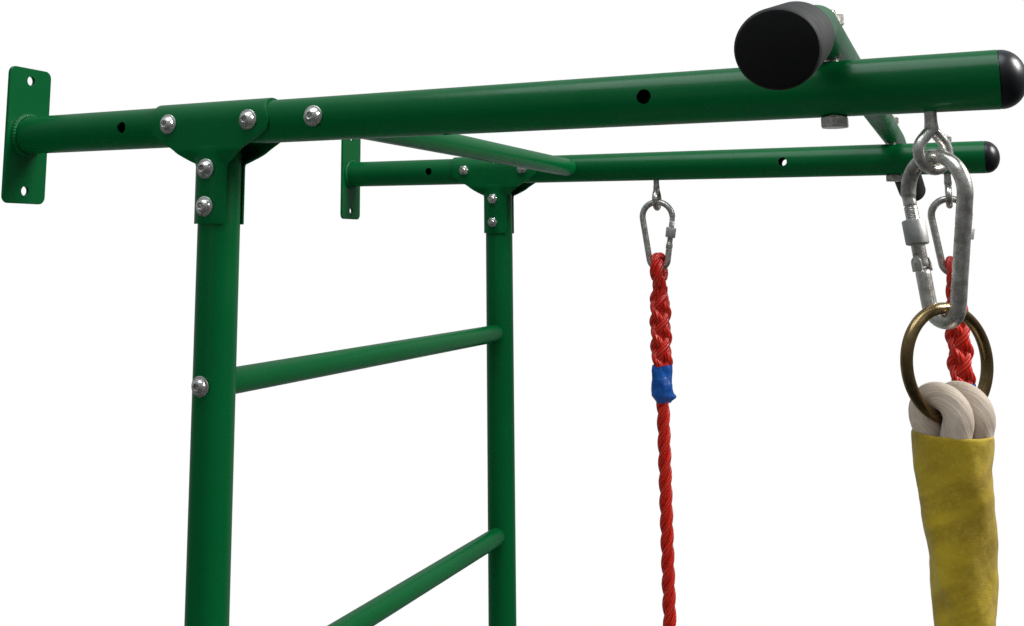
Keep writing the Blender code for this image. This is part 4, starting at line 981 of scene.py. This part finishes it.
def bar_half():
    vertex = ARM_SPACING / 2 + BEND_OFFSET
    tangent = BEND_RADIUS * math.tan(BEND_ANGLE / 2)
    points = [bar_point(0.0, 0.0), bar_point(vertex - tangent, 0.0)]
    for step in range(1, 13):
        angle = BEND_ANGLE * step / 12
        points.append(bar_point(vertex - tangent + BEND_RADIUS * math.sin(angle),
                                BEND_RADIUS * (1 - math.cos(angle))))
    return points


def bar_tip(back=0.0):
    length = (BAR_OVERHANG - BEND_OFFSET) / math.cos(BEND_ANGLE) - back
    return bar_point(ARM_SPACING / 2 + BEND_OFFSET + math.cos(BEND_ANGLE) * length,
                     math.sin(BEND_ANGLE) * length)


def make_bar():
    middle = ARM_SPACING / 2
    half = bar_half() + [bar_tip(GRIP_END + GAP)]
    far = [Vector((x, middle + y, z)) for x, y, z in half[1:]]
    near = [Vector((x, middle - y, z)) for x, y, z in half[1:]]
    bm = bmesh.new()
    sweep(bm, list(reversed(near)) + far, BAR_RADIUS, 48)
    piece("pull_up_bar_look", bm, GREEN, "frame", ["pull_up_bar"])
    for side, label, y in SIDES:
        make_grip(label + "_grip", side)
        make_bar_bolt(label + "_bar_bolt", label + "_bar_nut", y)


def make_grip(name, side):
    """Foam sleeve with rounded rims, closed at the tip of the bar."""
    tip, root = [Vector((x, ARM_SPACING / 2 + side * y, z))
                 for x, y, z in (bar_tip(), bar_tip(GRIP_LENGTH))]
    r = GRIP_RADIUS
    rings = [(1 * MM, 0.0), (r - 3.2 * MM, 0.0), (r - 1.2 * MM, -0.5 * MM), (r - 0.35 * MM, -1.5 * MM),
             (r, -3.2 * MM), (r, -GRIP_LENGTH + 3.0 * MM), (r - 0.4 * MM, -GRIP_LENGTH + 1.3 * MM),
             (r - 1.4 * MM, -GRIP_LENGTH + 0.3 * MM), (r - 2.6 * MM, -GRIP_LENGTH),
             (BAR_RADIUS + GAP, -GRIP_LENGTH), (BAR_RADIUS + GAP, -GRIP_END), (1 * MM, -GRIP_END)]
    bm = bmesh.new()
    spin(bm, rings, 64, at(tip, (tip - root).normalized()))
    piece(name + "_look", bm, FOAM, "frame", [name])


def make_bar_bolt(name, nut, y):
    """Hexagon bolt from below through the arm and the bar, with its nut on top."""
    under = -ARM_RADIUS - GAP
    seat = BAR_Z + BAR_RADIUS + GAP
    bm = bmesh.new()
    add_hex(bm, M10_HEX, 0.0, M10_HEAD, at((BAR_X, y, under), (0, 0, -1)))
    spin(bm, [(M10, seat - under), (M10, 0.0)], 24, at((BAR_X, y, under)))
    add_thread(bm, M10, M10_NUT + 3 * MM, at((BAR_X, y, seat)), 1.5 * MM, 0.75 * MM)
    piece(name + "_look", bm, ZINC, "frame", [name])
    bm = bmesh.new()
    add_hex(bm, M10_HEX, 0.0, M10_NUT, at((BAR_X, y, seat)), M10 + 0.15 * MM)
    piece(nut + "_look", bm, ZINC, "frame", [nut])


# Eye bolts and carabiners

def arc(cx, cz, radius, start, end, steps):
    return [(cx + radius * math.cos(start + (end - start) * n / steps),
             cz + radius * math.sin(start + (end - start) * n / steps)) for n in range(steps + 1)]


def pear(top_radius, low_radius, distance, steps):
    """Closed line round two circles, the upper one at the origin."""
    lean = math.asin((low_radius - top_radius) / distance)
    return (arc(0, 0, top_radius, lean, math.pi - lean, steps)
            + arc(0, -distance, low_radius, math.pi - lean, TAU + lean, steps))


def in_plane(points, centre, turn, flip=1):
    """Lift (x, z) pairs into the upright plane through centre that is turned about Z."""
    across = Vector((math.cos(turn), math.sin(turn), 0)) * flip
    return [Vector(centre) + across * x + UP * z for x, z in points]


def make_eye_bolt(name, x, y, turn, through):
    """Bent and closed wire eye, with a collar, a shank and a nut."""
    low = EYE_WIDTH / 2 - EYE_WIRE
    distance = EYE_LENGTH - EYE_NECK - low - 2 * EYE_WIRE
    top = -ARM_RADIUS - EYE_SHOW
    centre = Vector((x, y, top - EYE_NECK - EYE_WIRE))
    bm = bmesh.new()
    line = spread(in_plane(pear(EYE_NECK, low, distance, 24), centre, turn), 1.6 * MM, cyclic=True)

    def section(number, run, angle):
        return EYE_WIRE * (1 + 0.02 * noise.noise(Vector((run * 160, x * 9, y))))
    sweep(bm, line, section, 24, cyclic=True)
    spin(bm, [(M8 * 0.98, 22 * MM), (M8 * 0.98, 6 * MM), (M8 * 1.02, 3 * MM), (M8 * 1.12, 0.0),
              (M8 * 1.05, -3 * MM), (M8 * 0.5, -5 * MM)], 28, at((x, y, top - 1.5 * MM)))
    nut_seat = ARM_RADIUS + GAP if through else EYE_NUT_INSIDE
    if through:
        spin(bm, [(M8, 2 * ARM_RADIUS), (M8, 0.0)], 20, at((x, y, -ARM_RADIUS)))
    add_hex(bm, M8_NUT[0], 0.0, M8_NUT[1], at((x, y, nut_seat)))
    add_thread(bm, M8, M8_NUT[1] + 2.5 * MM, at((x, y, nut_seat)))
    piece(name + "_look", bm, ZINC, "frame", [name])


class Carabiner:
    """Places along one pear-shaped screw-lock carabiner, as in the solids."""

    def __init__(self, name, height, top_width, low_width, wire, x, y, turn, flip):
        self.name = name
        self.height = height
        self.wire = wire
        self.top_radius = top_width / 2 - wire
        self.low_radius = low_width / 2 - wire
        self.distance = height - 2 * wire - self.top_radius - self.low_radius
        self.turn = turn
        self.flip = flip
        seat = -ARM_RADIUS - EYE_SHOW - EYE_LENGTH + 2 * EYE_WIRE
        self.centre = Vector((x, y, seat + wire + 2 * GAP - self.top_radius))
        self.lean = math.asin((self.top_radius - self.low_radius) / self.distance)
        self.load = self.centre - UP * (self.distance + self.low_radius)
        self.rod = wire - 0.4 * MM
        self.thread = self.rod - 0.1 * MM
        self.across = Vector((-math.sin(turn), math.cos(turn), 0))

    def run(self, share):
        c, s = math.cos(self.lean), -math.sin(self.lean)
        first = (self.top_radius * c, self.top_radius * s)
        last = (self.low_radius * c, self.low_radius * s - self.distance)
        return tuple(a + (b - a) * share for a, b in zip(first, last))

    def share_at(self, below):
        z = self.top_radius + self.wire - below * self.height
        top = self.run(0.0)[1]
        return (top - z) / (top - self.run(1.0)[1])

    def world(self, points):
        return in_plane(points, self.centre, self.turn, self.flip)

    def gate(self):
        low, high = self.world([self.run(self.share_at(GATE_FOOT)), self.run(self.share_at(GATE_TIP))])
        along = (high - low).normalized()
        return low + along * 0.4 * MM, high - along * 0.4 * MM, along


def add_cheek(bm, pivot, along, outward, c):
    """One of the two rounded cheeks that hold the foot of the gate."""
    width = along.cross(outward)
    outline = [pivot - along * (c.rod + 1.2 * MM) + width * c.rod]
    outline += [pivot + (width * math.cos(a) + along * math.sin(a)) * c.rod
                for a in (math.pi * n / 16 for n in range(17))]
    outline.append(pivot - along * (c.rod + 1.2 * MM) - width * c.rod)
    near, low, high, far = (outward * c.wire * share for share in (0.76, 0.80, 0.94, 1.01))
    layers = []
    for shift, inset in ((near, 0.98), (low, 1.0), (high, 0.97), (far, 0.82)):
        layers.append([bm.verts.new(pivot + (point - pivot) * inset + shift) for point in outline])
    skin(bm, layers)


def make_hook(c):
    """Bent wire from the threaded nose round to the cheeks of the hinge."""
    outline = [c.run(c.share_at(GATE_TIP))]
    outline += arc(0, 0, c.top_radius, -c.lean, math.pi + c.lean, 40)
    outline += arc(0, -c.distance, c.low_radius, math.pi + c.lean, TAU - c.lean, 28)
    outline.append(c.run(c.share_at(GATE_FOOT)))
    step = 1.0 * MM
    line = spread(c.world(outline), step)

    def section(number, run, angle):
        if number * step < LOCK_THREAD:
            phase = (run / LOCK_PITCH + angle / TAU) % 1.0
            return c.thread - 0.22 * MM * abs(2 * phase - 1)
        ease = smooth_step((run - LOCK_THREAD) / (2 * MM))
        wear = 1 + 0.012 * noise.noise(Vector((run * 120, math.cos(angle), math.sin(angle))))
        end = 1.0 if number < len(line) - 2 else 0.93
        return (c.thread + (c.wire - c.thread) * ease) * wear * end
    bm = bmesh.new()
    sweep(bm, line, section, 28)
    low, high, along = c.gate()
    pivot = low + along * c.rod
    for side in (-1, 1):
        add_cheek(bm, pivot, along, c.across * side, c)
        spin(bm, [(0.5 * MM, 0.5 * MM), (1.2 * MM, 0.35 * MM), (1.6 * MM, 0.0), (1.6 * MM, -0.5 * MM)], 20,
             at(pivot + c.across * side * c.wire, c.across * side))
    piece(c.name + "_carabiner_look", bm, ZINC, c.name + "_hook", [c.name + "_carabiner"])


def make_gate(c):
    """Rod with a rounded and flattened foot and a threaded upper part."""
    low, high, along = c.gate()
    length = (high - low).length
    line = []
    for step in range(9):
        angle = TAU / 4 * (0.12 + 0.88 * step / 8)
        line.append(low + along * c.rod * (1 - math.cos(angle)))
    neck = length * 0.62
    count = int((length - c.rod) / (0.25 * MM))
    line += [low + along * (c.rod + (length - c.rod) * n / count) for n in range(1, count + 1)]

    def section(number, run, angle):
        level = (line[number] - low).length
        full = c.rod
        if level < c.rod:
            full = math.sqrt(max(1e-9, c.rod ** 2 - (c.rod - level) ** 2))
        flat = c.rod * (0.80 + 0.20 * smooth_step((level - 2.2 * c.rod) / (1.5 * MM)))
        full = min(full, flat / max(0.05, abs(math.cos(angle))))
        if level < neck:
            return full
        phase = (level / LOCK_PITCH + angle / TAU) % 1.0
        tip = 0.85 if level > length - 0.8 * MM else 1.0
        return (c.thread - 0.25 * MM * abs(2 * phase - 1)) * tip
    bm = bmesh.new()
    sweep(bm, line, section, 28, side=c.across)
    piece(c.name + "_gate_look", bm, ZINC, c.name + "_hook_gate", [c.name + "_gate"])


def make_sleeve(c):
    """Plain screw sleeve round the joint of the gate and the nose."""
    low, high, along = c.gate()
    size = 0.14 * c.height
    bore = c.rod + SLEEVE_BORE
    outer = bore + SLEEVE_WALL
    half = [(bore, -0.5 * MM), (bore + 0.5 * MM, 0.0), (outer - 1.0 * MM, 0.0),
            (outer - 0.25 * MM, -0.4 * MM), (outer, -1.2 * MM)]
    rings = half + [(radius, -size - level) for radius, level in reversed(half)]
    bm = bmesh.new()
    spin(bm, rings, 48, at(high - along * 0.085 * c.height, along), closed=True)
    piece(c.name + "_lock_sleeve_look", bm, SLEEVE, c.name + "_hook_sleeve", [c.name + "_lock_sleeve"])


# Climbing rope

def cotton_section(radius, seed):
    """Three flattened strands, each of many yarns of uneven thickness."""
    def rule(number, run, angle):
        turn = angle / TAU + run / ROPE_LAY
        strand = abs(math.cos(math.pi * 3 * turn)) ** 0.55
        yarn = turn * 18
        bulge = abs(math.cos(math.pi * yarn)) ** 0.5
        uneven = noise.noise(Vector((math.floor(yarn + 0.5) % 18 * 1.7, run * 22, seed)))
        return radius * (0.885 + 0.085 * strand + 0.030 * bulge * (1 + 0.9 * uneven))
    return rule


def wound(path, reach, lay, phase):
    """Line that winds round a path at a distance, once in a lay."""
    tangents, sides = frames_along(path, False)[:2]
    line = []
    for point, tangent, side, run in zip(path, tangents, sides, runs_along(path)):
        angle = phase + TAU * run / lay
        line.append(point + (side * math.cos(angle) + tangent.cross(side) * math.sin(angle)) * reach)
    return line


def make_climbing_rope(c):
    body = "climbing_rope_hanging"
    ring_at = Vector((c.centre.x, c.centre.y, c.load.z + c.wire + GAP + RING_WIRE - RING_RADIUS))
    bm = bmesh.new()

    def ring_section(number, run, angle):
        seam = math.exp(-((number - RING_SEAM) / 1.6) ** 2)
        return RING_WIRE * (1 + 0.05 * seam)
    sweep(bm, in_plane(circle(RING_RADIUS, RING_STEPS), ring_at, RING_TURN), ring_section, 28, cyclic=True)
    piece("brass_ring_look", bm, BRASS, body, ["brass_ring"])
    inside = RING_RADIUS - RING_WIRE - GAP - LOOP_RADIUS
    loop_top = ring_at.z - math.sqrt(inside ** 2 - LOOP_SPREAD ** 2)
    half = RING_WIRE + GAP + LOOP_RADIUS
    cover_top = ring_at.z - RING_RADIUS - COVER_DROP
    distance = loop_top - half - cover_top + 4 * MM
    across = Vector((math.cos(RING_TURN), math.sin(RING_TURN), 0))
    bm = bmesh.new()
    for side in (-1, 1):
        centre = Vector((c.centre.x, c.centre.y, loop_top - half)) + across * side * LOOP_SPREAD
        line = in_plane(pear(half, LOOP_RADIUS + GAP, distance, 30), centre, RING_TURN + TAU / 4)
        sweep(bm, spread(line, 1.5 * MM, cyclic=True), cotton_section(LOOP_RADIUS, side), 144, cyclic=True)
    low_z = cover_top - COVER_LENGTH + 10 * MM
    centre = Vector((c.centre.x, c.centre.y, 0))
    piece("climbing_rope_eye", bm, COTTON, body, ["climbing_rope"], sharp=80)
    bm = bmesh.new()
    path = [centre + UP * (low_z + (ROPE_END_Z + 2 * MM - low_z) * n / 420) for n in range(421)]
    sweep(bm, path, cotton_section(ROPE_RADIUS, 5), 120)
    rope = piece("climbing_rope_line", bm, COTTON, body, ["climbing_rope"], sharp=80)
    bm = bmesh.new()
    line = []
    steps = 36
    for n in range(WHIP_TURNS * steps + 1):
        angle = TAU * n / steps
        outward = Vector((math.cos(angle), math.sin(angle), 0))
        z = ROPE_END_Z + 3.2 * MM + (WHIP_HEIGHT - 5 * MM) * n / (WHIP_TURNS * steps)
        line.append(centre + outward * (ROPE_RADIUS - 0.2 * MM) + UP * z)
    sweep(bm, line, WHIP_TWINE, 8)
    whipping = piece("climbing_rope_whipping", bm, TWINE, body, ["climbing_rope"], sharp=80)
    make_cover(centre, cover_top, body)


def make_cover(centre, top, body):
    """Cloth sleeve whose surface shows the twisted rope under it."""
    def radius(drop):
        share = min(1.0, drop / COVER_TAPER)
        return COVER_TOP + (COVER_LOW - COVER_TOP) * share

    def outer(drop):
        def rule(angle):
            x, y = math.cos(angle), math.sin(angle)
            fade = smooth_step(drop / (25 * MM))
            drawn = math.exp(-drop / (4 * MM))
            lay = math.sin(angle * 3 - drop / COVER_TWIST * TAU)
            wrinkle = noise.noise(Vector((x * 1.4, y * 1.4, drop * 42)))
            fine = noise.noise(Vector((x * 3.2, y * 3.2, drop * 120 + 7)))
            level = radius(drop) - (0.9 + 0.9 * fade + 0.9 * drawn) * MM
            return level + (1.15 * fade * lay + 1.3 * wrinkle * (0.4 + 0.6 * fade) + 0.45 * fine) * MM
        return rule

    def inner(drop):
        rule = outer(drop)
        return lambda angle: rule(angle) - COVER_CLOTH
    count = 150
    drops = [COVER_LENGTH * n / count for n in range(count + 1)]
    rings = [(outer(0.0), -COVER_HEM)] + [(outer(d), -d) for d in drops[1:-1]]
    rings += [(outer(COVER_LENGTH), -COVER_LENGTH + COVER_HEM), (inner(COVER_LENGTH), -COVER_LENGTH)]
    rings += [(inner(d), -d) for d in reversed(drops[1:-1])] + [(inner(0.0), 0.0)]
    bm = bmesh.new()
    spin(bm, rings, 96, at(centre + UP * top), closed=True)
    cover = piece("rope_cover_look", bm, CLOTH, body, ["rope_cover"], sharp=80)
    widths = [TAU * (radius(d) - 1.5 * MM) for d in drops]


# Red ropes and rings

def laid_rope(bm, path):
    """Three strands laid round the path."""
    for number in range(3):
        line = wound(path, RED_LAID_REACH, RED_LAY, TAU * number / 3)
        sweep(bm, line, RED_LAID_STRAND, 18)


def plait(bm, x, y, top, bottom, reach):
    """Six strands woven over and under each other round a vertical line."""
    count = max(24, round((top - bottom) / (2.2 * MM)))
    for hand in (1, -1):
        for number in range(3):
            line = []
            for n in range(count + 1):
                drop = (top - bottom) * n / count
                turn = TAU * drop / PLAIT_LAY
                far = reach(drop) + hand * PLAIT_WEAVE * math.cos(3 * turn)
                angle = hand * turn + TAU * number / 3
                line.append(Vector((x + math.cos(angle) * far, y + math.sin(angle) * far, top - drop)))
            sweep(bm, line, PLAIT_STRAND, 18)


def eye_legs(x, y, z, rise, half, turn):
    """Line of a rope bent round a bar at z, its legs closing to a twisted pair; rise is 1 upward."""
    legs = []
    count = 45
    for side in (0, 1):
        leg = []
        for n in range(1, count + 1):
            run = EYE_LEG * n / count
            reach = half + (EYE_CLOSED - half) * smooth_step((run - 4 * MM) / (27 * MM))
            angle = turn + math.pi * side + TAU * max(0.0, run - 14 * MM) / (150 * MM)
            leg.append(Vector((x + math.cos(angle) * reach, y + math.sin(angle) * reach, z + rise * run)))
        legs.append(leg)
    bend = [Vector((x + math.cos(turn) * a, y + math.sin(turn) * a, z + b))
            for a, b in arc(0, 0, half, 0, -rise * math.pi, 20)]
    return list(reversed(legs[0])) + bend + legs[1]


def make_top_splice(c, body, tape_top):
    """Eye in the hook, whose legs go over into a plait round a core."""
    x, y = c.load.x, c.load.y
    neck = c.load.z - SPLICE_NECK
    length = neck - tape_top + PLAIT_OVERLAP
    bm = bmesh.new()
    line = eye_legs(x, y, c.load.z, -1, c.wire + EYE_SLACK + RED_OUTER, c.turn + TAU / 4)
    laid_rope(bm, spread(line, 2.0 * MM))

    def swell(drop):
        wide = PLAIT_REACH + PLAIT_SWELL * smooth_step(drop / (26 * MM))
        return wide * smooth_step((length + 9 * MM - drop) / (20 * MM))
    plait(bm, x, y, neck, tape_top - PLAIT_OVERLAP, swell)
    step = 4 * MM
    core = [Vector((x, y, neck - 10 * MM - step * n)) for n in range(int((length - 12 * MM) / step))]
    sweep(bm, core, CORE_RADIUS, 16)
    piece(c.name + "_rope_eye", bm, RED, body, [c.name + "_red_rope"], sharp=80)


def make_low_splice(c, body, wire_z, join_z):
    """Eye on the gymnastic ring, with a shorter plait above it."""
    x, y = c.load.x, c.load.y
    bm = bmesh.new()
    line = eye_legs(x, y, wire_z, 1, GYM_WIRE + GYM_SLACK + RED_OUTER, 0.0)
    laid_rope(bm, spread(line, 2.0 * MM))

    def swell(drop):
        ends = smooth_step(drop / (22 * MM)) * smooth_step((LOW_PLAIT - drop) / (22 * MM))
        return PLAIT_REACH + PLAIT_SWELL * ends
    top = join_z + LOW_PLAIT_RISE
    plait(bm, x, y, top, top - LOW_PLAIT, swell)
    piece(c.name + "_rope_low_eye", bm, RED, body, [c.name + "_red_rope"], sharp=80)


def make_red_rope(c):
    """Laid rope between two spliced eyes, with tape on the upper splice and a ring in the lower eye."""
    body = c.name + "_rope_hanging"
    x, y = c.load.x, c.load.y
    tape_top = c.load.z - c.wire - GAP - SPLICE_START - SPLICE_LENGTH + TAPE_LENGTH * 0.45
    make_top_splice(c, body, tape_top)
    wire_z = GYM_TOP_Z - GYM_WIRE
    join_z = wire_z + GYM_WIRE + GYM_SLACK + RED_STRAND + SPLICE_NECK
    start_z = tape_top - TAPE_LENGTH * 0.4
    count = 300
    path = [Vector((x, y, start_z + (join_z - start_z) * n / count)) for n in range(count + 1)]
    bm = bmesh.new()
    laid_rope(bm, path)
    rope = piece(c.name + "_rope_line", bm, RED, body, [c.name + "_red_rope"], sharp=80)
    make_low_splice(c, body, wire_z, join_z)
    tape = make_tape(c, body, Vector((x, y, tape_top)))
    bm = bmesh.new()
    ring_at = Vector((x, y, GYM_TOP_Z - GYM_WIRE - GYM_RADIUS))
    sweep(bm, in_plane(circle(GYM_RADIUS, 128), ring_at, TAU / 4), GYM_WIRE, 40, cyclic=True)
    ring = c.name + "_gym_ring"
    piece(ring + "_look", bm, WOOD, c.name + "_ring_hanging", [ring])


def make_tape(c, body, top):
    """Adhesive tape wound roughly over the end of the splice, with a loose lower corner."""
    def rule(drop):
        def radius(angle):
            x, y = math.cos(angle) * 2.2, math.sin(angle) * 2.2
            base = TAPE_RADIUS + 1.3 * MM * smooth_step((drop - 14 * MM) / (14 * MM))
            base -= 5.2 * MM * smooth_step((drop - TAPE_LENGTH * 0.80) / (TAPE_LENGTH * 0.2))
            corner = math.exp((math.cos(angle - 0.5) - 1) * 3.5)
            base += 4.2 * MM * corner * math.exp(-((drop - TAPE_CORNER) / (4 * MM)) ** 2)
            turns = (drop / TAPE_WIND + angle / TAU) % 1.0
            step = 0.45 * MM * smooth_step(turns / 0.10) * (1 - 0.5 * turns)
            squash = 0.9 * MM * math.cos(3 * angle + drop * 90)
            squash += 0.6 * MM * math.cos(2 * angle - drop * 150)
            crease = noise.noise(Vector((x, y, drop * 110 + c.centre.x * 9)))
            return base + step + squash + 1.2 * MM * crease - 0.6 * MM
        return radius

    def hem(angle):
        return 0.9 * MM * math.sin(angle + 1.2)
    count = 72
    rings = [(11.5 * MM, hem)]
    for n in range(count + 1):
        drop = TAPE_LENGTH * n / count
        rings.append((rule(drop), lambda a, d=drop: hem(a) * (1 - d / TAPE_LENGTH) - d))
    rings.append((RED_RADIUS - 1.0 * MM, -TAPE_LENGTH))
    bm = bmesh.new()
    spin(bm, rings, 80, at(top))
    tape = c.name + "_rope_tape"
    return piece(tape + "_look", bm, BLUE, body, [tape], sharp=60)


def make_floor():
    bm = bmesh.new()
    z = FLOOR_Z - 0.5 * MM
    corners = ((-1, -1), (1, -1), (1, 1), (-1, 1))
    spots = [(POST_X + a * FLOOR_HALF, ARM_SPACING / 2 + b * FLOOR_HALF, z) for a, b in corners]
    bm.faces.new([bm.verts.new(spot) for spot in spots])
    floor = new_object("floor", new_mesh("floor", bm))
    look = Look("floor", (0.82, 0.82, 0.81), 0.6)
    look.roughness(look.noise(6.0), 0.55, 0.7)
    floor.data.materials.append(look.material)
    floor.visible_glossy = False


NEAR_HOOK = Carabiner("near", 120 * MM, 58 * MM, 34 * MM, 4.9 * MM, OUTER_X, 0.0, math.radians(-44), -1)
INNER_HOOK = Carabiner("inner", 100 * MM, 50 * MM, 34 * MM, 4.2 * MM, INNER_X, ARM_SPACING, 0.0, 1)
OUTER_HOOK = Carabiner("outer", 100 * MM, 50 * MM, 34 * MM, 4.2 * MM, OUTER_X, ARM_SPACING, 0.0, 1)

make_climbing_rope(NEAR_HOOK)
for hook in (INNER_HOOK, OUTER_HOOK):
    make_red_rope(hook)
for hook in (NEAR_HOOK, INNER_HOOK, OUTER_HOOK):
    make_hook(hook)
    make_gate(hook)
    make_sleeve(hook)
for side, label, y in SIDES:
    make_arm(label + "_arm", y, side > 0)
    make_wall_plate(label + "_wall_plate", y)
    make_arm_cap(label + "_arm_cap", y)
    make_bracket(label + "_t_bracket", y)
    make_bracket_bolts(side, y, label)
    make_post(label + "_post", y)
    make_foot(label + "_foot", y)
for number, z in enumerate(rung_levels(), 1):
    make_rung(number, z)
make_cross_tube()
make_bar()
make_eye_bolt("near_eye_bolt", OUTER_X, 0.0, math.radians(44), False)
make_eye_bolt("inner_eye_bolt", INNER_X, ARM_SPACING, TAU / 4, False)
make_eye_bolt("outer_eye_bolt", OUTER_X, ARM_SPACING, TAU / 4, True)
make_floor()
